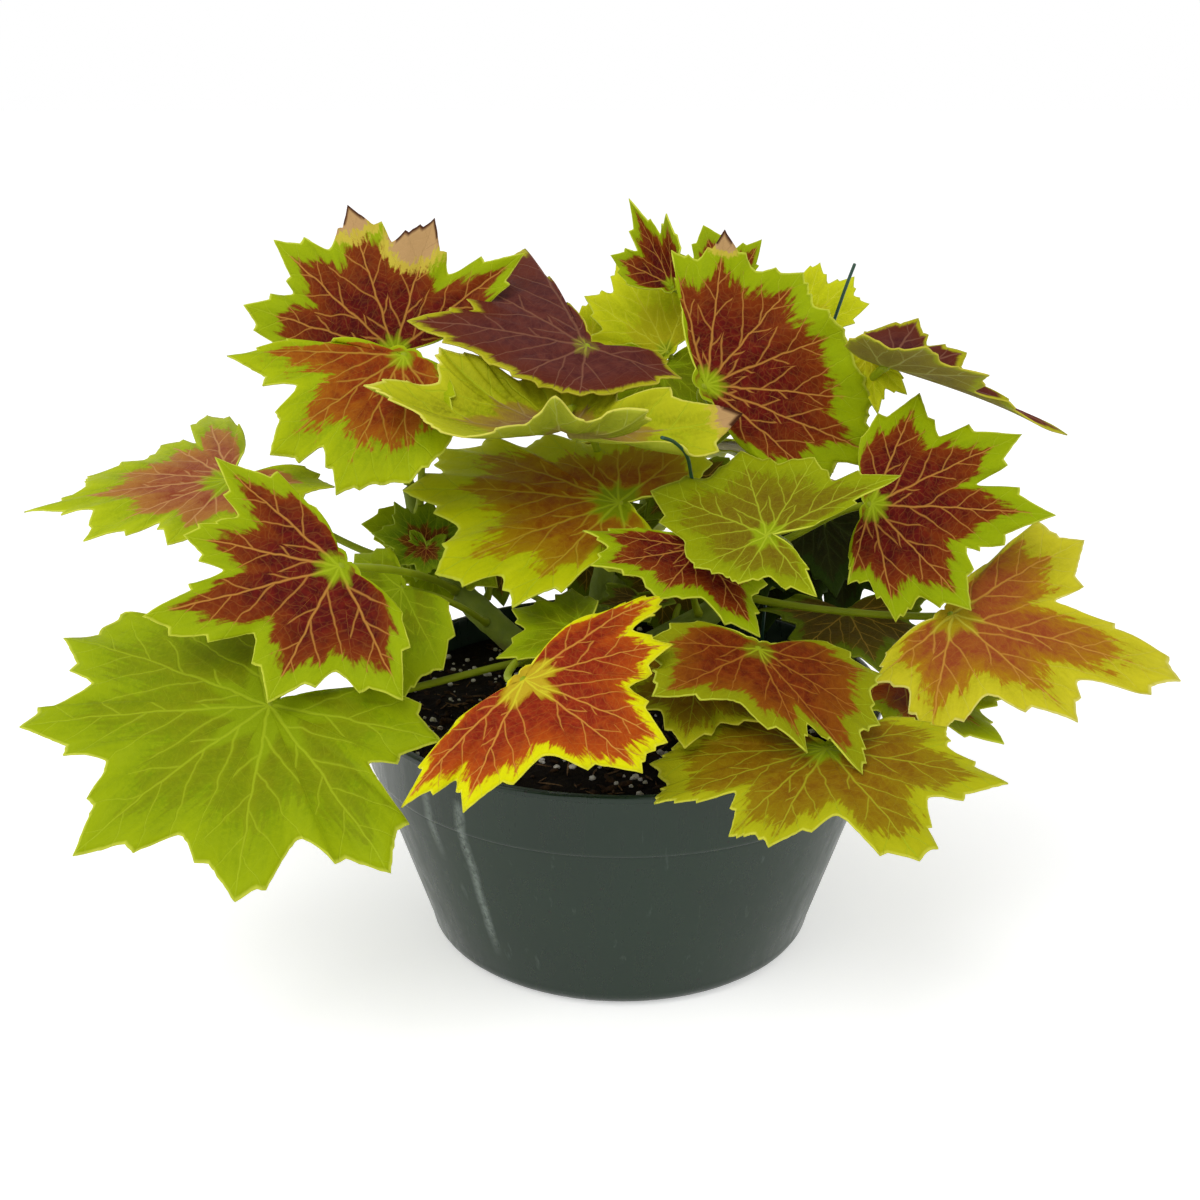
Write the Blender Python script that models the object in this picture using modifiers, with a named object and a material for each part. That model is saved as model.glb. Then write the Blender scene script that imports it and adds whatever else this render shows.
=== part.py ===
"""A zonal geranium with pointed, zoned leaves, growing in a low green plastic nursery pot.

Frame: origin at the centre of the pot's flat underside, +Z up, -Y towards the plant's front.
Each leaf is a blade and its petiole grown as one piece. The leaves are listed by hand in
LEAVES, and their outlines, bends and petioles are worked out from that list.
"""

import math
from dataclasses import dataclass

import bmesh
import bpy
from mathutils import Euler, Vector

MM = 0.001
GAP = 0.3 * MM  # clearance between pieces that touch

# Pot: a 165 mm bulb pan
POT_HEIGHT = 80 * MM
RIM_RADIUS = 82.5 * MM
COLLAR_BOTTOM = 60.5 * MM
COLLAR_RADIUS = 80.4 * MM
COLLAR_STEP = 0.8 * MM
HEEL_HEIGHT = 5.5 * MM
HEEL_RADIUS = 62.3 * MM
BASE_RADIUS = 56.5 * MM
POT_WALL = 1.5 * MM
LIP_WIDTH = 2.4 * MM
LIP_DEPTH = 3.0 * MM
POT_SEGMENTS = 40
DRAIN_COUNT = 8
DRAIN_RADIUS = 4.5 * MM
DRAIN_CIRCLE = 45 * MM

# Soil
SOIL_EDGE_HEIGHT = 70 * MM
SOIL_CROWN_HEIGHT = 73 * MM
CROWN_DEPTH = 24 * MM  # how far the crown goes into the soil

# Plant
CROWN_AT = Vector((-14, 8, 0)) * MM
CROWN_RADIUS = 9 * MM
CROWN_TOP = 80 * MM
BLADE_THICKNESS = 0.8 * MM
PETIOLE_RADIUS = 1.25 * MM
PETIOLE_POINTS = 5
HEART_SHARE = 0.5  # where the ring of points inside a blade's outline lies, as a share of its reach
FOLD_RADIUS = 3  # mm, how tightly a folded blade turns along its midrib
DROOP_AT = 50  # mm from the hub, where a leaf's droop is given
NOTCH_SHARE = 0.68  # how far out a notch lies where a leaf doesn't say, as a share of the shorter lobe
SHOULDER_RISE = 0.4  # how far a lobe's shoulders stand above its notch, as a share of its tip's height
SHOULDER_SPREAD = 0.62  # how far round from the lobe's middle towards the notch
LOBE_HALF_WIDTH = 26  # degrees, at most
SINUS_SPREAD = 0.55  # how far an outer lobe runs on past its tip, as a share of the way to its neighbour
SINUS_REACH = 0.06  # how far from the hub the sinus ends, as a share of the size
WIRE_RADIUS = 0.5 * MM
WIRE_FOOT = 50 * MM
SOCKET_PASS = 10 * MM  # how far a wire's socket is cut past the soil's top

POT_GREEN = (0.045, 0.072, 0.045, 1)
SOIL_BROWN = (0.02, 0.014, 0.01, 1)
STEM_GREEN = (0.19, 0.32, 0.05, 1)
WIRE_GREEN = (0.01, 0.05, 0.02, 1)
LIME = (0.37, 0.56, 0.02, 1)
BRICK = (0.42, 0.12, 0.03, 1)
MAROON = (0.24, 0.03, 0.02, 1)

FIVE = ((-98, 0.84), (-48, 0.95), (0, 1.0), (48, 0.95), (98, 0.84))
SEVEN = ((-132, 0.72), (-90, 0.9), (-45, 1.0), (0, 1.0), (45, 1.0), (90, 0.9), (132, 0.72))


@dataclass
class Leaf:
    """One leaf: where its blade's hub is, how the blade is turned, its lobes and its stem.

    turn is the midrib's heading in degrees from +X, its droop below the horizontal, and the
    blade's roll about it. lobes are (bearing from the midrib, reach, reach of the notch after
    it), with both reaches as shares of the size.
    """

    name: str
    hub: tuple  # mm
    turn: tuple  # heading, pitch, roll
    size: float  # mm, length of the middle lobe
    lobes: tuple
    stem: str
    joint: float  # place along the stem, 0 to 1
    colour: tuple = LIME
    droop: float = 4.0  # mm that the blade falls at 50 mm from the hub
    fold: float = 0.0  # degrees that each half lifts about the midrib
    bow: tuple = (0, 0, 0)  # mm that the petiole's middle is pushed aside
    arrive: tuple = ()  # the way from the hub back along the petiole, where it isn't through the sinus
    ends: tuple = ()  # the sinus's two sides as (bearing, reach), where they aren't worked out from the lobes


STEMS = {
    "left": (((-15, 9, 77), 5.5), ((-32, 14, 86), 5.0), ((-50, 18, 102), 4.2), ((-64, 22, 120), 3.4),
             ((-68, 26, 138), 2.5)),
    "centre": (((-13, 10, 77), 5.0), ((-8, 18, 94), 4.4), ((-4, 24, 118), 3.4), ((0, 30, 140), 2.4)),
    "right": (((-11, 7, 77), 5.5), ((10, 6, 90), 4.8), ((30, 6, 102), 4.0), ((44, 10, 120), 3.2),
              ((50, 16, 136), 2.4)),
    "back": (((-12, 11, 77), 4.5), ((-4, 30, 92), 4.0), ((4, 46, 108), 3.4), ((10, 56, 124), 2.9),
             ((14, 60, 142), 2.4)),
}

WIRES = {
    "wire_front": ((31, 30, 76), (30, 27, 105), (28, 16, 124), (24, 3, 138), (21, -6, 149), (19, -14, 158),
                   (15, -21, 164), (11, -27, 167)),
    "wire_back": ((48, 38, 76), (51, 40, 112), (58, 42, 150), (66, 42, 180), (71, 42, 197), (74, 42, 206)),
}

SHOOT_BASE = Vector((-51, 14, 111)) * MM
SHOOT_TIP = Vector((-61, 8, 124)) * MM
SHOOT_RADIUS = 1.8 * MM

LEAVES = (
    # front and left
    Leaf("leaf_low_left", (-98, -70, 102), (-140, 21, -20), 64,
         ((-118, 0.8, 0.74), (-71, 1.16, 0.84), (-43, 1.1, 0.71), (-2, 1.0, 0.69), (44, 0.93, 0.7),
          (82, 0.98, 0.55), (123, 0.77)), "left", 0.2, droop=3),
    Leaf("leaf_maroon_left", (-80, -48, 135), (-165, 11, -43), 56,
         ((-61, 0.93, 0.6), (-31, 0.82, 0.58), (-1, 0.99, 0.54), (50, 0.8, 0.57), (98, 0.8)),
         "left", 0.55, MAROON, droop=1),
    Leaf("leaf_behind_left", (-67, -15, 117), (-140, 32, -17), 36,
         ((-95, 0.8), (-45, 0.95), (0, 0.9), (49, 1.0), (98, 0.8)), "left", 0.4),
    Leaf("leaf_far_left", (-122, 10, 144), (-165, 11, -14), 58,
         ((-88, 1.05, 0.6), (-66, 0.8, 0.7), (-38, 0.96, 0.88), (-21, 1.2, 0.74), (7, 0.82, 0.46), (50, 0.6),
          (105, 0.6), (150, 0.6)), "left", 0.7, BRICK),
    Leaf("leaf_top_left", (-72, 35, 179), (130, -62, -46), 52,
         ((-80, 0.55), (-34, 0.86, 0.68), (1, 0.98, 0.78), (30, 1.1, 0.78), (54, 1.04)), "left", 1.0, MAROON),
    Leaf("leaf_brick_left", (-67, 15, 182), (-155, 29, -32), 52,
         ((-48, 1.18, 0.66), (-2, 0.97, 0.73), (31, 0.96, 0.74), (60, 0.7)), "left", 0.88, BRICK,
         bow=(-4, 2, 0)),
    Leaf("leaf_front_red", (-27, -78, 113), (-24, 14, 27), 44,
         ((-103, 1.08, 0.76), (-83, 0.95, 0.56), (-12, 0.93, 0.87), (4, 0.95, 0.64), (50, 1.0, 0.8),
          (72, 1.26)), "centre", 0.15, MAROON, droop=8),
    # middle
    Leaf("leaf_front_small", (-12, -38, 112), (-165, 8, -20), 26, FIVE, "centre", 0.35),
    Leaf("leaf_front_centre", (-1, -5, 141), (-155, 13, -21), 60,
         ((-165, 0.72, 0.45), (-110, 0.4, 0.38), (-70, 1.0, 0.84), (-42, 1.17, 0.82), (-4, 1.0, 0.74),
          (25, 0.86, 0.46), (70, 0.5)), "centre", 0.75, BRICK),
    Leaf("leaf_cupped", (-17, -8, 167), (180, -4, 0), 60,
         ((-166, 0.92), (-112, 0.5), (-72, 0.5), (-35, 0.65), (0, 1.0), (40, 0.75), (85, 0.58), (130, 0.6)),
         "centre", 0.9, fold=19, droop=0, arrive=(0.1, 0.95, -0.1), bow=(0, 6, 10)),
    Leaf("leaf_flat_top", (-11, 20, 184), (180, -9, -26), 57,
         ((-66, 1.03, 0.92), (-36, 1.05, 0.68), (-5, 0.99, 0.58), (45, 0.52, 0.4), (90, 0.42, 0.38),
          (167, 0.55)), "centre", 1.0, MAROON, ends=((-71, 0.45), (188, 0.4))),
    Leaf("leaf_shaded_centre", (5, 2, 108), (-125, 15, 0), 16, FIVE, "centre", 0.5),
    # right
    Leaf("leaf_upright_right", (26, 15, 173), (25, -35, 58), 50,
         ((-79, 1.04, 0.86), (-46, 1.09, 0.9), (-18, 0.93, 0.8), (8, 0.98, 0.81), (41, 1.0, 0.8), (62, 0.88)),
         "right", 1.0, MAROON, droop=2),
    Leaf("leaf_green_right", (41, -38, 141), (-158, 27, -18), 38,
         ((-72, 1.18, 0.62), (-10, 0.62, 0.46), (86, 0.82, 0.42), (125, 0.85, 0.7), (172, 1.16)),
         "right", 0.8),
    Leaf("leaf_small_maroon", (23, -24, 133), (-122, 21, -25), 34,
         ((-105, 0.4), (-61, 1.04, 0.84), (-39, 1.04, 0.68), (-2, 0.72, 0.58), (58, 1.03, 0.62), (100, 0.85)),
         "right", 0.45, MAROON, droop=1),
    Leaf("leaf_drooping", (38, -53, 112), (-68, 31, 0), 40,
         ((-74, 0.96, 0.5), (0, 0.9, 0.68), (17, 1.17, 0.93), (40, 1.0, 0.84), (67, 0.9, 0.55), (105, 0.6)),
         "right", 0.4, MAROON, droop=2),
    Leaf("leaf_under_drooping", (22, -42, 100), (-100, 15, 0), 32, FIVE, "right", 0.2),
    Leaf("leaf_low_right", (56, -70, 89), (-117, 12, -4), 50,
         ((-92, 0.8, 0.74), (-65, 0.98, 0.9), (-43, 1.03, 0.64), (-16, 0.86, 0.78), (0, 0.86, 0.58),
          (51, 0.94, 0.66), (101, 1.0, 0.68), (135, 0.76)), "right", 0.3),
    Leaf("leaf_star_right", (75, -10, 142), (-38, 39, 40), 46,
         ((-56, 0.58, 0.52), (-29, 0.8, 0.68), (3, 0.94, 0.67), (50, 1.22, 0.72), (79, 1.16, 0.68),
          (118, 0.9)), "right", 0.8, MAROON, ends=((-62, 0.4), (138, 0.66))),
    Leaf("leaf_brick_right", (99, -22, 111), (-47, 26, 18), 54,
         ((-84, 0.68, 0.6), (-53, 0.88, 0.55), (4, 0.9, 0.76), (38, 1.3, 0.62), (90, 1.15)),
         "right", 0.6, BRICK),
    Leaf("leaf_under_brick", (86, -20, 90), (-45, 14, 0), 38, FIVE, "right", 0.35, BRICK),
    Leaf("leaf_shaded_right", (72, 6, 102), (-80, 12, 0), 34, FIVE, "right", 0.6),
    Leaf("leaf_behind_star", (66, 32, 124), (-30, 8, 0), 28, FIVE, "right", 0.5),
    Leaf("leaf_right_edge", (90, 20, 188), (-13, 25, 0), 47,
         ((-98, 0.55), (-48, 0.68), (0, 1.0), (48, 0.68), (98, 0.55)), "right", 0.92, MAROON,
         fold=-42, droop=0, bow=(6, 12, 0)),
    # behind the tallest leaves
    Leaf("leaf_back_yellow", (15, 48, 177), (133, -48, -44), 34,
         ((-48, 0.8), (-1, 1.0, 0.76), (26, 0.86, 0.58), (85, 0.8)), "back", 0.93),
    Leaf("leaf_back_green", (-10, 60, 174), (81, -54, 8), 21, FIVE, "back", 0.85),
    Leaf("leaf_folded", (16, 42, 199), (139, -57, -76), 31,
         ((-42, 0.8), (0, 1.0), (42, 0.75)), "centre", 0.95, MAROON, fold=40, droop=0, bow=(8, 6, 0)),
    Leaf("leaf_back_maroon", (34, 50, 194), (120, -59, -19), 26,
         ((-86, 0.55), (-46, 0.95), (0, 1.0), (46, 0.95), (86, 0.55)), "back", 1.0, MAROON,
         arrive=(0.2, 0.8, -0.5), bow=(8, 8, 0)),
    Leaf("leaf_back_lime", (58, 48, 184), (62, -50, 28), 26,
         ((-95, 0.7), (-48, 1.02, 0.88), (-26, 1.08, 0.8), (0, 1.0), (48, 0.9), (92, 0.5)), "back", 0.9),
    # round the back
    Leaf("leaf_rear_left", (-25, 80, 130), (112, 24, 0), 50, SEVEN, "back", 0.62, BRICK),
    Leaf("leaf_rear_middle", (24, 92, 136), (82, 20, 0), 52, SEVEN, "back", 0.75, MAROON),
    Leaf("leaf_rear_right", (66, 68, 130), (40, 24, 0), 50, FIVE, "back", 0.55, MAROON),
    Leaf("leaf_rear_side", (90, 44, 114), (10, 24, 0), 40, FIVE, "right", 0.4),
    Leaf("leaf_rear_low", (-12, 92, 102), (108, 30, 0), 46, FIVE, "back", 0.32),
    Leaf("leaf_rear_low_right", (50, 86, 94), (52, 32, 0), 42, FIVE, "back", 0.42, BRICK),
    Leaf("leaf_rear_low_left", (-44, 60, 98), (140, 26, 0), 36, FIVE, "back", 0.2),
    Leaf("leaf_rear_top", (2, 74, 156), (98, 20, 0), 30, FIVE, "back", 0.8, BRICK),
)

LEAFLETS = (
    Leaf("leaflet_left", (-62, 8, 124), (190, -5, -30), 16, FIVE, "left", 0.5, droop=1),
    Leaf("leaflet_right", (-60, 8, 124), (-20, 5, 25), 15, FIVE, "left", 0.5, droop=1),
    Leaf("leaflet_front", (-61, 7, 124), (-95, 30, 0), 10, FIVE, "left", 0.5, droop=1),
)


def material(name, colour, roughness, metallic=0.0):
    """A Principled material, made once for each name."""
    found = bpy.data.materials.get(name)
    if found:
        return found
    made = bpy.data.materials.new(name)
    made.use_nodes = True
    shader = made.node_tree.nodes["Principled BSDF"]
    shader.inputs["Base Color"].default_value = colour
    shader.inputs["Roughness"].default_value = roughness
    shader.inputs["Metallic"].default_value = metallic
    made.diffuse_color = colour
    return made


def collection(name):
    """A collection of the scene, made once."""
    found = bpy.data.collections.get(name)
    if found is None:
        found = bpy.data.collections.new(name)
        bpy.context.scene.collection.children.link(found)
    return found


def place(obj, finish=None, helper=False):
    """Put an object in its collection; a helper stays out of the part."""
    for holder in list(obj.users_collection):
        holder.objects.unlink(obj)
    collection("helpers" if helper else "potted_geranium").objects.link(obj)
    if helper:
        obj.hide_render = True
        obj.display_type = "WIRE"
    if finish is not None:
        obj.data.materials.clear()
        obj.data.materials.append(finish)
    return obj


def new_object(name, mesh):
    obj = bpy.data.objects.new(name, mesh)
    bpy.context.scene.collection.objects.link(obj)
    return obj


def boolean(obj, other, operation, solver="EXACT"):
    cut = obj.modifiers.new(f"{operation} {other.name}", "BOOLEAN")
    cut.operation = operation
    cut.object = other
    cut.solver = solver


def turned(name, profile, segments):
    """A solid of revolution from a closed (radius, height) profile that runs down its outer side."""
    mesh = bpy.data.meshes.new(name)
    bm = bmesh.new()
    ring = [bm.verts.new((radius, 0, height)) for radius, height in profile]
    for start, end in zip(ring, ring[1:] + ring[:1]):
        if start.co.x > 1e-7 or end.co.x > 1e-7:
            bm.edges.new((start, end))
    bm.to_mesh(mesh)
    bm.free()
    obj = new_object(name, mesh)
    screw = obj.modifiers.new("Turn", "SCREW")
    screw.steps = screw.render_steps = segments
    screw.use_merge_vertices = True
    screw.merge_threshold = 1e-5
    return obj


def cylinder(name, radius, bottom, top, at, sides=24):
    """An upright helper cylinder."""
    bpy.ops.mesh.primitive_cylinder_add(vertices=sides, radius=radius, depth=top - bottom,
                                        location=(at[0], at[1], (top + bottom) / 2))
    obj = bpy.context.object
    obj.name = name
    return obj


def bezier(controls, share):
    """The point at a share of a cubic Bezier curve."""
    a, b, c, d = controls
    rest = 1 - share
    return a * rest**3 + b * 3 * rest**2 * share + c * 3 * rest * share**2 + d * share**3


def tube(name, points, radii, bevel_resolution=1):
    """A closed mesh tube through points, with a radius at each."""
    curve = bpy.data.curves.new(name, "CURVE")
    curve.dimensions = "3D"
    curve.bevel_depth = 1.0
    curve.bevel_resolution = bevel_resolution
    curve.use_fill_caps = True
    spline = curve.splines.new("POLY")
    spline.points.add(len(points) - 1)
    for knot, point, radius in zip(spline.points, points, radii):
        knot.co = (*point, 1)
        knot.radius = radius
    source = new_object(name + "_path", curve)
    graph = bpy.context.evaluated_depsgraph_get()
    mesh = bpy.data.meshes.new_from_object(source.evaluated_get(graph))
    bpy.data.objects.remove(source)
    bm = bmesh.new()
    bm.from_mesh(mesh)
    bmesh.ops.remove_doubles(bm, verts=bm.verts, dist=1e-6)
    bmesh.ops.recalc_face_normals(bm, faces=bm.faces)
    bm.to_mesh(mesh)
    bm.free()
    mesh.name = name
    return new_object(name, mesh)


def wall_radius(height):
    """The pot's outer radius at a height above the base."""
    if height >= COLLAR_BOTTOM:
        share = (height - COLLAR_BOTTOM) / (POT_HEIGHT - COLLAR_BOTTOM)
        return COLLAR_RADIUS + share * (RIM_RADIUS - COLLAR_RADIUS)
    share = (height - HEEL_HEIGHT) / (COLLAR_BOTTOM - HEEL_HEIGHT)
    return HEEL_RADIUS + share * (COLLAR_RADIUS - COLLAR_STEP - HEEL_RADIUS)


def pot():
    """The pot: collar, tapered wall, rounded heel and a flat floor with drain holes."""
    lip_inner = RIM_RADIUS - LIP_WIDTH
    profile = [
        (lip_inner, POT_HEIGHT),
        (RIM_RADIUS, POT_HEIGHT),
        (RIM_RADIUS, POT_HEIGHT - LIP_DEPTH / 2),
        (COLLAR_RADIUS, COLLAR_BOTTOM),
        (COLLAR_RADIUS - COLLAR_STEP, COLLAR_BOTTOM - COLLAR_STEP),
        (HEEL_RADIUS, HEEL_HEIGHT),
        (HEEL_RADIUS - 2 * MM, HEEL_HEIGHT / 4),
        (BASE_RADIUS, 0),
        (0, 0),
        (0, POT_WALL),
        (BASE_RADIUS - POT_WALL / 2, POT_WALL),
        (HEEL_RADIUS - POT_WALL, HEEL_HEIGHT),
        (COLLAR_RADIUS - COLLAR_STEP - POT_WALL, COLLAR_BOTTOM - COLLAR_STEP),
        (lip_inner, POT_HEIGHT - LIP_DEPTH),
    ]
    obj = turned("pot", profile, POT_SEGMENTS)
    for index in range(DRAIN_COUNT):
        angle = 2 * math.pi * (index + 0.5) / DRAIN_COUNT
        at = (DRAIN_CIRCLE * math.cos(angle), DRAIN_CIRCLE * math.sin(angle))
        hole = cylinder(f"drain_{index}", DRAIN_RADIUS, -5 * MM, 2 * POT_WALL, at, 12)
        boolean(obj, place(hole, helper=True), "DIFFERENCE")
    place(obj, material("moulded_polypropylene", POT_GREEN, 0.35))


def soil(stakes):
    """The soil, clear of the pot, with a socket for the crown and one for each wire."""
    floor = POT_WALL + GAP
    edge = SOIL_EDGE_HEIGHT
    inner = POT_WALL + GAP
    profile = [
        (0, SOIL_CROWN_HEIGHT),
        (40 * MM, SOIL_CROWN_HEIGHT - 1.5 * MM),
        (wall_radius(edge) - inner - 1 * MM, edge),
        (COLLAR_RADIUS - COLLAR_STEP - inner, COLLAR_BOTTOM - COLLAR_STEP),
        (HEEL_RADIUS - inner, HEEL_HEIGHT),
        (BASE_RADIUS - inner, floor),
        (0, floor),
    ]
    obj = turned("soil", profile, POT_SEGMENTS)
    socket = cylinder("crown_socket", CROWN_RADIUS + GAP, SOIL_CROWN_HEIGHT - CROWN_DEPTH - GAP,
                      SOIL_CROWN_HEIGHT + 10 * MM, CROWN_AT)
    boolean(obj, place(socket, helper=True), "DIFFERENCE")
    for name, foot in stakes.items():
        hole = cylinder(name + "_socket", WIRE_RADIUS + GAP, foot.z - GAP, SOIL_CROWN_HEIGHT + SOCKET_PASS,
                        foot, 8)
        boolean(obj, place(hole, helper=True), "DIFFERENCE")
    place(obj, material("potting_mix", SOIL_BROWN, 0.95))


def stem_point(name, share):
    """(point, radius, direction) at a share of a stem's length."""
    knots = [(Vector(point) * MM, radius * MM) for point, radius in STEMS[name]]
    place_on = share * (len(knots) - 1)
    index = min(int(place_on), len(knots) - 2)
    part = place_on - index
    (start, start_radius), (end, end_radius) = knots[index], knots[index + 1]
    radius = start_radius + part * (end_radius - start_radius)
    return start.lerp(end, part), radius, (end - start).normalized()


def stems():
    """The crown and the four stems that branch from it, grown as one."""
    crown = cylinder("stems", CROWN_RADIUS, SOIL_CROWN_HEIGHT - CROWN_DEPTH, CROWN_TOP, CROWN_AT, 16)
    for name, knots in STEMS.items():
        points = [Vector(point) * MM for point, _ in knots]
        branch = tube("stem_" + name, points, [radius * MM for _, radius in knots])
        boolean(crown, place(branch, helper=True), "UNION")
    place(crown, material("green_stem", STEM_GREEN, 0.5))


def outline(leaf):
    """The blade's outline as (bearing, share of the size), anticlockwise from one side of the sinus."""
    tips = [lobe[:2] for lobe in leaf.lobes]
    start = (tips[0][0] - SINUS_SPREAD * (tips[1][0] - tips[0][0]), NOTCH_SHARE * tips[0][1])
    end = (tips[-1][0] + SINUS_SPREAD * (tips[-1][0] - tips[-2][0]), NOTCH_SHARE * tips[-1][1])
    start, end = leaf.ends or (start, end)
    notches = [start]
    for lobe, following in zip(leaf.lobes, leaf.lobes[1:]):
        reach = lobe[2] if len(lobe) > 2 else NOTCH_SHARE * min(lobe[1], following[1])
        notches.append(((lobe[0] + following[0]) / 2, reach))
    notches.append(end)
    points = [start]
    for (bearing, reach), before, after in zip(tips, notches, notches[1:]):
        shoulders = []
        for notch_bearing, notch_reach in (before, after):
            turn = max(-LOBE_HALF_WIDTH, min(notch_bearing - bearing, LOBE_HALF_WIDTH)) * SHOULDER_SPREAD
            shoulders.append((bearing + turn, notch_reach + SHOULDER_RISE * (reach - notch_reach)))
        if leaf.lobes in (FIVE, SEVEN):
            points += [(bearing, reach), after]
        else:
            points += [shoulders[0], (bearing, reach), shoulders[1], after]
    points.append(((start[0] + end[0]) / 2 + 180, SINUS_REACH))
    return points


def bent(leaf, x, y, share):
    """A point of the flat blade, in mm, moved to where the blade's droop and fold put it."""
    angle = math.radians(leaf.fold)
    height = (math.hypot(y, FOLD_RADIUS) - FOLD_RADIUS) * math.sin(angle)
    height -= leaf.droop * share * (x * x + y * y) / DROOP_AT**2
    return Vector((x, y * math.cos(angle), height)) * MM


def blade(leaf):
    """The blade: a disc drawn out to the lobed outline, bent, and given its thickness."""
    points = outline(leaf)
    count = len(points)
    bm = bmesh.new()
    bmesh.ops.create_circle(bm, segments=count, radius=1, cap_ends=True, cap_tris=True)
    spokes = [edge for edge in bm.edges if min(vert.co.length for vert in edge.verts) < HEART_SHARE / 2]
    bmesh.ops.subdivide_edges(bm, edges=spokes, cuts=1)
    for vert in bm.verts:
        share = round(vert.co.length / HEART_SHARE) * HEART_SHARE
        if share == 0:
            continue
        quarter_turns = math.atan2(vert.co.y, vert.co.x) / (math.pi / 2) - 1
        bearing, reach = points[round(quarter_turns * count / 4) % count]
        angle = math.radians(bearing)
        radius = share * reach * leaf.size
        vert.co = bent(leaf, radius * math.cos(angle), radius * math.sin(angle), share)
    bmesh.ops.triangulate(bm, faces=bm.faces[:])
    bmesh.ops.recalc_face_normals(bm, faces=bm.faces)
    mesh = bpy.data.meshes.new(leaf.name)
    bm.to_mesh(mesh)
    bm.free()
    obj = new_object(leaf.name, mesh)
    heading, pitch, roll = (math.radians(angle) for angle in leaf.turn)
    obj.location = Vector(leaf.hub) * MM
    obj.rotation_euler = Euler((roll, pitch, heading), "XYZ")
    solid = obj.modifiers.new("Thickness", "SOLIDIFY")
    solid.thickness = BLADE_THICKNESS
    solid.offset = 0
    return obj


def petiole(leaf):
    """The leaf's own stalk, from just clear of its stem to the blade's hub."""
    heading, pitch, roll = (math.radians(angle) for angle in leaf.turn)
    turn = Euler((roll, pitch, heading), "XYZ").to_matrix()
    sinus = math.radians((leaf.lobes[0][0] + leaf.lobes[-1][0]) / 2 + 180)
    hub = Vector(leaf.hub) * MM
    behind = turn @ Vector((0.7 * math.cos(sinus), 0.7 * math.sin(sinus), -0.75))
    if leaf.arrive:
        behind = Vector(leaf.arrive)
    root, radius, along = stem_point(leaf.stem, leaf.joint)
    span = (hub - root).length
    out = hub - root
    out = (out - out.dot(along) * along).normalized() if leaf.joint < 1 else along
    start = root + out * ((radius if leaf.joint < 1 else 0) + GAP + 0.6 * PETIOLE_RADIUS)
    push = Vector(leaf.bow) * MM
    controls = (start, start + (out + Vector((0, 0, 0.4))) * span * 0.3 + push,
                hub + behind * span * 0.35 + push, hub + turn @ Vector((0, 0, BLADE_THICKNESS * 0.6)))
    points = [bezier(controls, index / (PETIOLE_POINTS - 1)) for index in range(PETIOLE_POINTS)]
    return tube(leaf.name + "_petiole", points, [PETIOLE_RADIUS] * PETIOLE_POINTS)


def leaf_piece(leaf):
    """Blade and petiole grown together."""
    obj = blade(leaf)
    boolean(obj, place(petiole(leaf), helper=True), "UNION", "MANIFOLD")
    names = {LIME: "lime_leaf", BRICK: "brick_zoned_leaf", MAROON: "maroon_zoned_leaf"}
    place(obj, material(names[leaf.colour], leaf.colour, 0.5))


def wires():
    """Thin coated wires pushed into the soil to hold the plant up; returns where each stands."""
    feet = {}
    for name, route in WIRES.items():
        points = [Vector(point) * MM for point in route]
        foot = Vector((points[0].x, points[0].y, WIRE_FOOT))
        wire = tube(name, [foot, *points], [WIRE_RADIUS] * (len(points) + 1), 0)
        place(wire, material("coated_wire", WIRE_GREEN, 0.4))
        feet[name] = foot
    return feet


def shoot():
    """The young shoot: a short stalk with its leaflets still small and close together."""
    stalk = tube("young_shoot", [SHOOT_BASE, SHOOT_BASE.lerp(SHOOT_TIP, 0.5), SHOOT_TIP],
                 [SHOOT_RADIUS, SHOOT_RADIUS, SHOOT_RADIUS * 0.8])
    for index, leaflet in enumerate(LEAFLETS):
        boolean(stalk, place(blade(leaflet), helper=True), "UNION", "MANIFOLD")
    place(stalk, material("green_stem", STEM_GREEN, 0.5))


def main():
    for obj in list(bpy.data.objects):
        bpy.data.objects.remove(obj)
    pot()
    soil(wires())
    stems()
    shoot()
    for leaf in LEAVES:
        leaf_piece(leaf)
    for obj in collection("potted_geranium").objects:
        if obj.type == "MESH":
            obj.data.shade_smooth()
            obj.data.set_sharp_from_angle(angle=math.radians(35))


main()
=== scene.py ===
"""A potted zonal geranium: pointed lime leaves with maroon zones, in a low green plastic pot.

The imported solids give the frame. Each leaf, stem, wire and the pot is built again here at a
finer scale in the place of its solid, with materials worked out from the leaf's own veins.
Lengths in the tables are millimetres and angles are degrees.
"""

import logging
import math
import random
from dataclasses import dataclass, replace
from enum import Enum

import bmesh
import bpy
import numpy as np
from mathutils import Euler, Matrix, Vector, noise


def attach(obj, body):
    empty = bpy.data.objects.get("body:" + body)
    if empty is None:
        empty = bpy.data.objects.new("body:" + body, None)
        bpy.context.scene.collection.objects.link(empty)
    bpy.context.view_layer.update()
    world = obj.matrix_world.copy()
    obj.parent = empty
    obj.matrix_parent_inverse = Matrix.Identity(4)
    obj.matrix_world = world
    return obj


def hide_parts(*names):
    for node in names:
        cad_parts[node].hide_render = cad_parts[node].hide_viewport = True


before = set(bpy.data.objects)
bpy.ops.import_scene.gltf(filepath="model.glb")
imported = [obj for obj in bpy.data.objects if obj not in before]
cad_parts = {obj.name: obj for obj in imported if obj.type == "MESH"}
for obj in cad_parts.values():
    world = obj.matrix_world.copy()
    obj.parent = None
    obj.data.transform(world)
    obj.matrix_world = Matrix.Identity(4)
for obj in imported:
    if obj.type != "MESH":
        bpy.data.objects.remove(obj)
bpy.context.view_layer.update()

logging.basicConfig(level=logging.INFO, format="%(message)s")
log = logging.getLogger("potted_geranium")

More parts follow.
